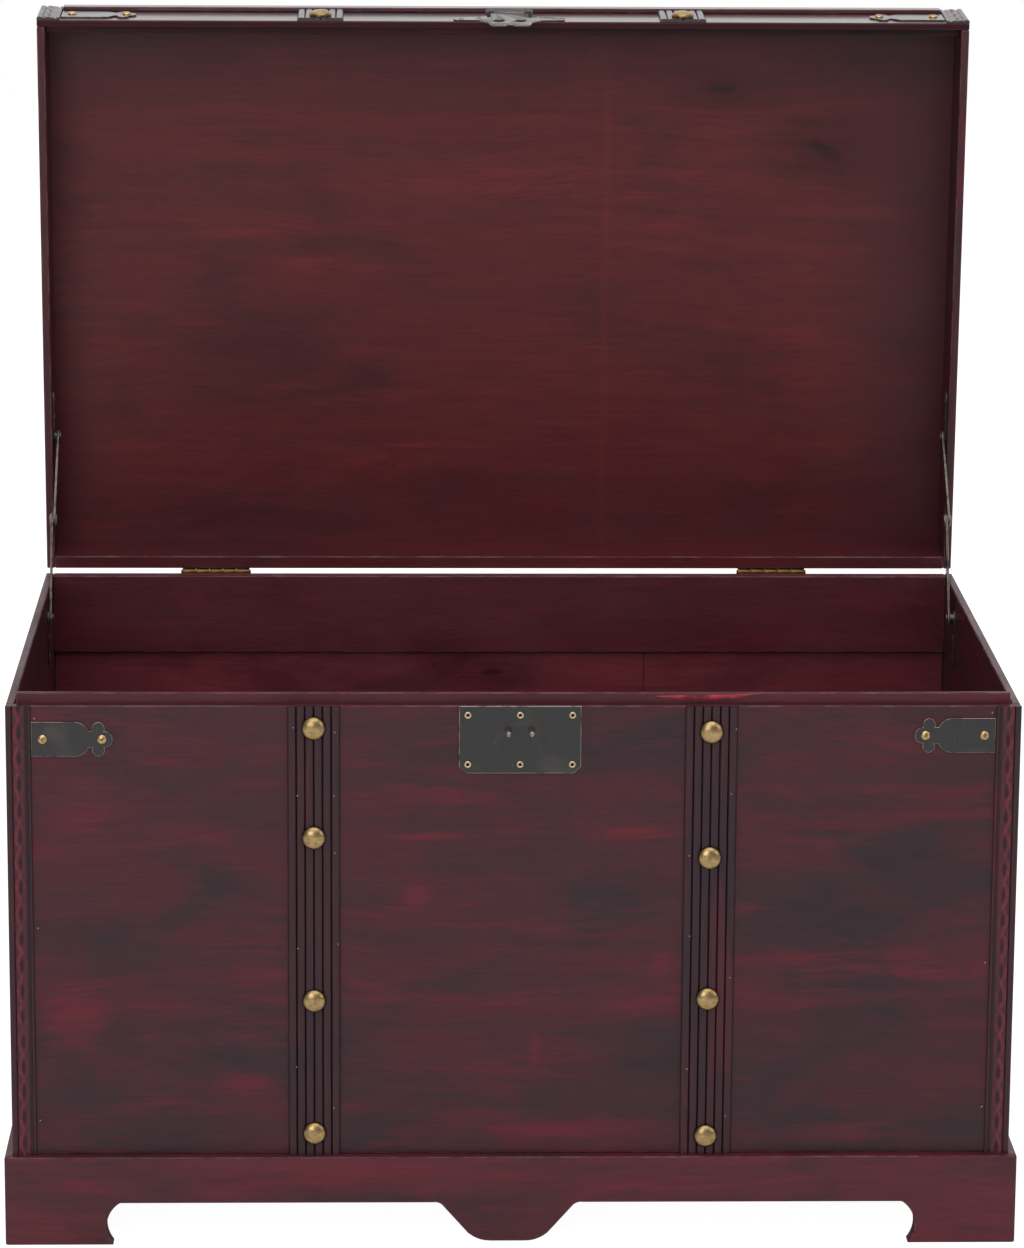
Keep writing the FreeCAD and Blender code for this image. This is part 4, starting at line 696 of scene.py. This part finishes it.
def moulding_face(x, z, width, depth, outward):
    """Height of the moulding's face above its back, over its width x and its length z.

    A wide round bead runs along the outer edge and a narrow one, past a sunk gap, along the inner edge.
    Between them two strands cross as plus and minus a cosine of z, round a sunk oval eye in each loop.
    """
    s = sizes()
    t = width - x if outward > 0 else x
    start, end = s.outer_bead, width - s.inner_bead - s.bead_gap
    middle = (start + end) / 2
    shift = 0.005 if outward > 0 else 0.0  # so that the two sides' twists aren't level
    outer = np.sqrt(np.clip(1 - ((t - start / 2) / (start / 2)) ** 2, 0, 1))
    inner = np.sqrt(np.clip(1 - ((width - t - s.inner_bead / 2) / (s.inner_bead / 2)) ** 2, 0, 1))
    along_eye = ((z + shift) / s.twist_length) % 1.0 - 0.5
    swing = s.twist_swing * np.cos(np.pi * along_eye)
    over, under = (np.exp(-((t - middle - way * swing) / (s.strand_width * 0.55)) ** 4) for way in (-1, 1))
    eye_length = 0.27  # half of it, as a share of a loop
    eye = np.exp(-((t - middle) / s.eye_width) ** 4 - (along_eye / eye_length) ** 4)
    lower, ground = 0.72, 0.60  # heights of the under strand and the ground, where the upper strand is 1
    twist = np.maximum(np.maximum(over, lower * under), ground * (1 - eye))
    slope = 0.5 * MM  # over this width the ground rises to the twist
    band = np.clip((t - start) / slope, 0, 1) * np.clip((end - t) / slope, 0, 1)
    in_outer, in_inner = t < start, t > width - s.inner_bead
    below = 0.2 * MM  # how far the twist stays under the box's face
    height = depth - below - s.relief + s.relief * twist * band
    height = np.maximum(height, np.where(in_outer, depth * (0.5 + 0.5 * outer), 0))
    height = np.maximum(height, np.where(in_inner, depth * (0.5 + 0.34 * inner), 0))
    # the mark is low in the sunk eyes and the gap, which the finish darkens as painted shade
    return height, np.where(in_outer | in_inner, 0.42, twist * band)


def strip(lo, hi, columns, step, face, *more):
    """A strip that fills the box from lo to hi, with its face towards -y and a row each step along z.

    face(x, z, width, depth, *more) gives the height above the back and a mark for each point.
    """
    width, depth, tall = hi - lo
    rows = max(6, int(tall / step))
    x, z = np.meshgrid(np.linspace(0, width, columns), np.linspace(0, tall, rows))
    height, mark = face(x, z, width, depth, *more)
    front = np.stack((lo[0] + x, hi[1] - height, lo[2] + z), axis=-1)
    points, faces = swept(backed(front, hi[1]))
    marks = np.concatenate((mark, np.zeros((rows, 2))), axis=1)
    return points, faces, marks.ravel()


def backed(front, y):
    """Closes each row of a face's points with two more behind its ends, on the plane of y."""
    back = front[:, (-1, 0)].copy()
    back[..., 1] = y
    return np.concatenate((front, back), axis=1)


class CHEST_OT_splinter(bpy.types.Operator):
    """Tear a sliver of veneer off the front lip's upper edge"""

    bl_idname = "chest.splinter"
    bl_label = "Torn sliver"

    def execute(self, context):
        # The width follows a flattened half sine along the tear, the face bows out by half a sine, and the
        # upper edge rises towards the end. Both edges are a little ragged.
        s = sizes()
        lo, hi = own_box("front_lip", False)
        share = np.linspace(0, 1, 41)
        width = s.sliver_width * np.sin(np.pi * share) ** 0.6 * (1 + 0.35 * ripple(share * 16, 0, 21))
        drop = 0.0006 + 0.0016 * (1 - share) + 0.0004 * ripple(share * 9, 1, 22)
        u, v = np.meshgrid(np.linspace(0, 1, 7), np.arange(len(share)))
        front = np.stack(((s.sliver_start + s.sliver_length * share)[v],
                          lo[1] - 0.00035 * np.sin(np.pi * u) - 0.00005,
                          hi[2] - drop[v] - u * width[v]), axis=-1)
        points, faces = swept(backed(front, lo[1] + 0.0002))
        add_piece("torn_sliver", points, [f[::-1] for f in faces], False, "red_stained_wood", ["torn_wood"])
        return {"FINISHED"}


class CHEST_OT_mouldings(bpy.types.Operator):
    """Carve the flat mouldings on the front corners"""

    bl_idname = "chest.mouldings"
    bl_label = "Carved mouldings"

    def execute(self, context):
        for node, lid, outward in (("corner_moulding_left", False, -1), ("corner_moulding_right", False, 1),
                                   ("lid_moulding_left", True, -1), ("lid_moulding_right", True, 1)):
            points, faces, marks = strip(*own_box(node, lid), 44, 0.8 * MM, moulding_face, outward)
            add_piece(f"carved_{node}", points, faces, lid, "red_stained_wood",
                      ["stained_lid_carving" if lid else "stained_carving"], [node], {"raised": marks}, 50.0)
        return {"FINISHED"}


REEDS = 6


def batten_face(x, z, width, depth, seed):
    """Shallow reeds with narrow grooves: a crown over each reed, cut by a V at each boundary."""
    s = sizes()
    pitch = width / REEDS
    u = np.where(x >= width - 1e-9, 1.0, (x % pitch) / pitch)
    below = 0.05 * MM  # how far the reeds stay under the box's face
    crown = depth - below - s.reed_crown * (2 * u - 1) ** 2
    edge = np.minimum(u, 1 - u) * pitch
    inside = (x > pitch * 0.4) & (x < width - pitch * 0.4)
    groove = np.where(inside, np.clip(1 - edge / s.groove_width, 0, 1),
                      np.clip(1 - edge / s.corner_width, 0, 1) * 0.7)
    dents = 0.06 * MM * ripple(x * 900, z * 160, seed)
    # the mark falls to 0 in the grooves, which the finish darkens as painted shade
    return crown - s.groove_depth * groove ** 0.8 + dents, 0.42 - 0.42 * groove


class CHEST_OT_battens(bpy.types.Operator):
    """Shape the reeded battens of the front and the lid"""

    bl_idname = "chest.battens"
    bl_label = "Reeded battens"

    def execute(self, context):
        for seed, (node, lid) in enumerate((("front_batten_left", False), ("front_batten_right", False),
                                            ("lid_batten_left", True), ("lid_batten_right", True))):
            points, faces, marks = strip(*own_box(node, lid), 97, 4 * MM, batten_face, seed)
            add_piece(f"reeded_{node}", points, faces, lid, "red_stained_wood",
                      ["stained_lid_reeds" if lid else "stained_reeds"], [node], {"raised": marks}, 60.0)
        return {"FINISHED"}


# ---- nails, rivets, screws and brads


def domes(node, lid, brass, seed):
    """Round nail heads in place of a node's domes: a shallow ellipse with a turned-down rim."""
    heads, marks = [], []
    rng = np.random.default_rng(seed)
    for low, high, _ in islands(node, lid):
        radius, rise = (high[0] - low[0]) / 2, high[1] - low[1]
        turns = np.linspace(np.pi / 2, 0, 15)
        profile = [(0.0, rise)] + [(radius * np.cos(a), rise * (0.12 + 0.88 * np.sin(a))) for a in turns[1:]]
        profile += [(radius, 0.04 * rise), (radius * 0.93, 0.0), (0.0, 0.0)]
        points, faces = turned(profile, 40)
        marks.append(np.hypot(points[:, 0], points[:, 1]) / radius)
        uneven = 1 + 0.012 * ripple(*(points[:, :2] / radius * 2).T, rng.integers(1e6))
        points[:, 2] *= np.where(points[:, 2] > rise * 0.2, uneven, 1)
        points[:, 2] = np.minimum(points[:, 2], rise)
        heads.append((on_front(points, low, high), faces))
    marks = {"rim": np.concatenate(marks)}
    add_piece(f"brass_{node}", *joined(heads), lid, "brass", [brass], [node], marks, 60.0)


class CHEST_OT_dome_nails(bpy.types.Operator):
    """Make the brass nails of the battens and brackets"""

    bl_idname = "chest.dome_nails"
    bl_label = "Brass nails"

    def execute(self, context):
        domes("dome_nails", False, "aged_brass", 3)
        domes("lid_dome_nails", True, "aged_brass", 4)
        domes("bracket_nails", False, "nail_brass", 5)
        domes("lid_bracket_nails", True, "nail_brass", 6)
        return {"FINISHED"}


def rivets():
    """Tubular rivets: a rolled ring, half a circle in section, with a hollow down to the plate."""
    heads, mats = [], []
    around, floor = 28, 0.05 * MM
    for low, high, _ in islands("lock_rivets", False):
        radius, rise = (high[0] - low[0]) / 2, high[1] - low[1]
        bore = radius * 0.44
        middle, half = (radius + bore) / 2, (radius - bore) / 2
        roll = [(middle + half * math.cos(a), rise * (0.35 + 0.65 * math.sin(a)))
                for a in np.linspace(np.pi, 0, 9)]
        points, faces = turned([(0.0, floor), (bore, floor), *roll, (radius, 0.0), (0.0, 0.0)], around)
        heads.append((on_front(points, low, high), faces))
        # the hollow's floor and wall take the second finish, which is painted shade
        mats += [1] * (2 * around) + [0] * (len(faces) - 2 * around)
    return (*joined(heads), mats)


def screws(node, lid):
    """Slotted round screw heads, each with its slot at its own angle.

    A cap z = rise * (1 - (r / R)^2.4), with a band about one diameter cut down to the slot's floor.
    """
    heads = []
    rng = np.random.default_rng(11)
    slot = sizes().screw_slot / 2
    wall = 0.02 * MM  # width of the slot's wall, which is all but upright
    left_under = 0.35  # how much of the head's height is left under the slot
    for low, high, own in islands(node, lid):
        size = high - low
        thin = int(np.argmin(size))
        radius, rise = np.sort(size)[1:].mean() / 2, size[thin]
        middle = (low + high) / 2
        rim = own[np.linalg.norm(np.delete(own - middle, thin, axis=1), axis=1) > radius * 0.9]
        base = middle.copy()
        base[thin] = rim[:, thin].mean()
        side = np.linspace(slot + wall, radius * 0.93, 7)
        line = np.concatenate(([-radius], -side[::-1], [-slot, 0, slot], side, [radius]))
        a, b = np.meshgrid(line, np.linspace(-1, 1, 15))
        b = b * np.sqrt(np.clip(radius ** 2 - a ** 2, 0, None))
        cap = rise * (1 - (np.hypot(a, b) / radius) ** 2.4)
        cap = np.where(np.abs(a) <= slot, np.minimum(cap, rise * left_under), cap)
        top = np.stack((a, b, np.clip(cap, 0, rise)), axis=-1).reshape(-1, 3)
        turn = rng.uniform(0, np.pi)
        rot = np.array([[math.cos(turn), math.sin(turn), 0], [-math.sin(turn), math.cos(turn), 0], [0, 0, 1]])
        axis = np.zeros(3)
        axis[thin] = np.sign(middle[thin] - base[thin])
        across = (1, 0, 0) if thin == 2 else (0, 0, 1)
        heads.append((to_direction(top @ rot, base, axis, across), grid_faces(*a.shape).tolist()))
    return joined(heads)


def merged(points, faces):
    """Joins points that coincide and drops faces that this makes too small."""
    key, index = np.unique(np.round(points / 1e-7).astype(np.int64), axis=0, return_inverse=True)
    index = index.ravel()
    new = np.zeros((len(key), 3))
    new[index] = points
    rings = ([index[i] for i in face] for face in faces)
    rings = ([p for k, p in enumerate(ring) if p != ring[k - 1]] for ring in rings)
    return new, [ring for ring in rings if len(ring) > 2]


BRADS = (  # x and z of brads in millimetres: on the battens and at the inner edge of the mouldings
    (-141.5, 347.0), (-115.0, 344.0), (-139.0, 302.0), (-115.5, 302.0), (-115.0, 264.0), (-139.0, 200.0),
    (-113.0, 203.0), (-140.0, 120.0), (-116.0, 92.0), (142.0, 346.0), (113.0, 262.0), (139.5, 303.0),
    (114.0, 208.0), (140.5, 180.0), (113.5, 118.0), (139.0, 86.0), (-306.5, 353.0), (306.0, 357.0),
    (-306.0, 214.0), (306.0, 190.0), (-306.5, 84.0), (306.5, 92.0),
)


class CHEST_OT_fasteners(bpy.types.Operator):
    """Make the lock plate's rivets, the wood screws and the small brads"""

    bl_idname = "chest.fasteners"
    bl_label = "Rivets, screws and brads"

    def execute(self, context):
        points, faces, mats = rivets()
        add_piece("tubular_rivets", points, faces, False, "bright_steel", ["rivet_brass", "rivet_hollow"],
                  ["lock_rivets"], smooth=60.0, mats=mats)
        for node, lid in (("case_screws", False), ("lid_screws", True)):
            add_piece(f"slotted_{node}", *merged(*screws(node, lid)), lid, "bright_steel", ["dull_steel"],
                      [node], smooth=40.0)
        sunk = 0.15 * MM
        front = own_box("front_batten_left", False)[0][1] + sunk
        radius = sizes().brad_radius
        profile = [(0.0, radius * 0.5), (radius * 0.7, radius * 0.36), (radius, 0.0), (0.0, 0.0)]
        points, faces = turned(profile, 12)
        heads = [(to_direction(points, (x * MM, front, z * MM), OUTWARD), faces) for x, z in BRADS]
        add_piece("trim_brads", *joined(heads), False, "bright_steel", ["dull_steel"], smooth=60.0)
        return {"FINISHED"}


# ---- metalwork


METAL = {  # the finish of a piece's faces, the finish of its edges, and the pieces
    ("blackened_plate", "rubbed_plate_edge"): (
        "lock_plate", "corner_bracket_left", "corner_bracket_right", "lid_bracket_left", "lid_bracket_right",
        "hasp_bracket", "hasp_plate", "hasp_pin", "handle_plate_left", "handle_plate_right",
        "stay_case_plates", "stay_lid_plates", "stay_lower_arm_left", "stay_lower_arm_right",
        "stay_upper_arm_left", "stay_upper_arm_right"),
    ("hinge_brass", "hinge_brass"): (
        "hinge_leaf_case_left", "hinge_leaf_case_right", "hinge_leaf_lid_left", "hinge_leaf_lid_right",
        "hinge_pins"),
    ("dull_steel", "dull_steel"): ("lock_studs",),
}


class CHEST_OT_metalwork(bpy.types.Operator):
    """Finish the plates, brackets, hasp, hinges, studs and stays"""

    bl_idname = "chest.metalwork"
    bl_label = "Metalwork"

    def execute(self, context):
        dress(METAL, sizes().plate_edge, 40.0)
        for side in ("left", "right"):
            wear(f"handle_bail_{side}", "blackened_plate")
        return {"FINISHED"}


# ---- studio


LAMPS = (  # name, place, what it points at, side of its square in metres, and watts
    ("top_lamp", (0.0, -0.9, 2.6), (0, 0, 0.3), 2.2, 26.0),
    ("front_lamp", (-1.2, -3.2, 1.6), (0, 0, 0.35), 1.8, 26.0),
    ("right_lamp", (2.4, -1.6, 1.5), (0, 0, 0.35), 1.4, 10.0),
)
CAMERA_PLACE = (-0.08539, -3.254821, 1.114354)
CAMERA_TURN = (12.97, 1.571, 0.379)  # degrees downwards, to the right, and round its own axis
CAMERA_REACH = 3.924580  # focal length over the sensor's height
FLOOR_HALF = 6.0  # from the floor's middle to its sides, in metres
FLOOR_DROP = 0.0002  # how far the floor lies under the chest


def lay_floor():
    """A floor that shows as white to the camera and keeps the shadow, and is plain paper to the rest."""
    mesh = bpy.data.meshes.new("floor")
    line = np.linspace(-FLOOR_HALF, FLOOR_HALF, 9)
    u, v = np.meshgrid(line, line)
    points = np.stack((u, v, np.full_like(u, -FLOOR_DROP)), axis=-1).reshape(-1, 3)
    mesh.from_pydata(points.tolist(), [], grid_faces(9, 9).tolist())
    g = Graph("studio_floor")
    ray = g.add("LightPath").outputs
    paper = g.add("BsdfDiffuse", {"Color": (*colours().floor, 1)}).outputs[0]
    faint = g.add("BsdfDiffuse", {"Color": (0.30, 0.30, 0.30, 1)}).outputs[0]
    glow = g.add("Emission", {"Color": (1, 1, 1, 1), "Strength": 0.97}).outputs[0]
    white = g.add("AddShader", {0: glow, 1: faint}).outputs[0]
    g.show(g.blend(ray["Is Camera Ray"], paper, white))
    mesh.materials.append(g.owner)
    placed("floor", mesh)


def light_world(scene):
    """White to the camera, an even fill for the light, and for reflections brighter behind and above."""
    scene.world = bpy.data.worlds.new("studio_world")
    g = Graph("studio_world", scene.world)
    ray = g.add("LightPath").outputs
    way = g.add("SeparateXYZ", {"Vector": g.coords}).outputs
    open_side = g.math("MAXIMUM", g.fade(way["Y"], -0.15, 0.35, 0.22, 1.0),
                       g.fade(way["Z"], 0.45, 0.80, 0.22, 1.0))
    fill, shine, white = (g.add("Background", {"Color": (1, 1, 1, 1), "Strength": strength}).outputs[0]
                          for strength in (0.55, open_side, 1.0))
    mirrored = g.math("MAXIMUM", ray["Is Glossy Ray"], ray["Is Transmission Ray"])
    g.show(g.blend(ray["Is Camera Ray"], g.blend(mirrored, fill, shine), white))


class CHEST_OT_studio(bpy.types.Operator):
    """Set up the floor, the lamps, the world and the camera"""

    bl_idname = "chest.studio"
    bl_label = "Studio"

    def execute(self, context):
        scene = context.scene
        lay_floor()
        light_world(scene)
        for name, place, aim, size, power in LAMPS:
            light = bpy.data.lights.new(name, "AREA")
            light.shape = "SQUARE"
            light.size = size
            light.energy = power
            placed(name, light).matrix_world = facing(place, Vector(aim) - Vector(place))
        camera = bpy.data.cameras.new("camera")
        camera.sensor_fit = "VERTICAL"
        camera.sensor_height = 36.0
        camera.lens = CAMERA_REACH * camera.sensor_height
        camera.clip_end = 50.0
        eye = placed("camera", camera)
        pitch, yaw, roll = (math.radians(a) for a in CAMERA_TURN)
        ahead = (math.sin(yaw) * math.cos(pitch), math.cos(yaw) * math.cos(pitch), -math.sin(pitch))
        eye.matrix_world = facing(CAMERA_PLACE, ahead) @ Matrix.Rotation(roll, 4, "Z")
        scene.camera = eye
        scene.view_settings.view_transform = "Standard"
        return {"FINISHED"}


def facing(place, ahead):
    """A camera's or lamp's matrix at place, looking along ahead and level."""
    return Matrix.Translation(place) @ Vector(ahead).to_track_quat("-Z", "Y").to_matrix().to_4x4()


# ---- panel and registration


OPERATORS = (CHEST_OT_boards, CHEST_OT_splinter, CHEST_OT_mouldings, CHEST_OT_battens, CHEST_OT_dome_nails,
             CHEST_OT_fasteners, CHEST_OT_metalwork, CHEST_OT_studio)


class CHEST_PT_panel(bpy.types.Panel):
    """Lists the chest's pieces, sizes and colours"""

    bl_idname = "CHEST_PT_panel"
    bl_label = "Chest"
    bl_space_type = "VIEW_3D"
    bl_region_type = "UI"
    bl_category = "Chest"

    def draw(self, context):
        for operator in OPERATORS:
            self.layout.operator(operator.bl_idname)
        for group in (context.scene.chest_sizes, context.scene.chest_colours):
            box = self.layout.box()
            for key in group.__annotations__:
                box.prop(group, key)


CLASSES = (ChestSizes, ChestColours, *OPERATORS, CHEST_PT_panel)


def register():
    for cls in CLASSES:
        bpy.utils.register_class(cls)
    bpy.types.Scene.chest_sizes = PointerProperty(type=ChestSizes)
    bpy.types.Scene.chest_colours = PointerProperty(type=ChestColours)


def unregister():
    del bpy.types.Scene.chest_colours
    del bpy.types.Scene.chest_sizes
    for cls in reversed(CLASSES):
        bpy.utils.unregister_class(cls)


def main():
    """Makes every piece and the studio."""
    register()
    bpy.ops.chest.boards()
    bpy.ops.chest.splinter()
    bpy.ops.chest.mouldings()
    bpy.ops.chest.battens()
    bpy.ops.chest.dome_nails()
    bpy.ops.chest.fasteners()
    bpy.ops.chest.metalwork()
    bpy.ops.chest.studio()
    bpy.context.view_layer.update()


if __name__ == "__main__":
    main()
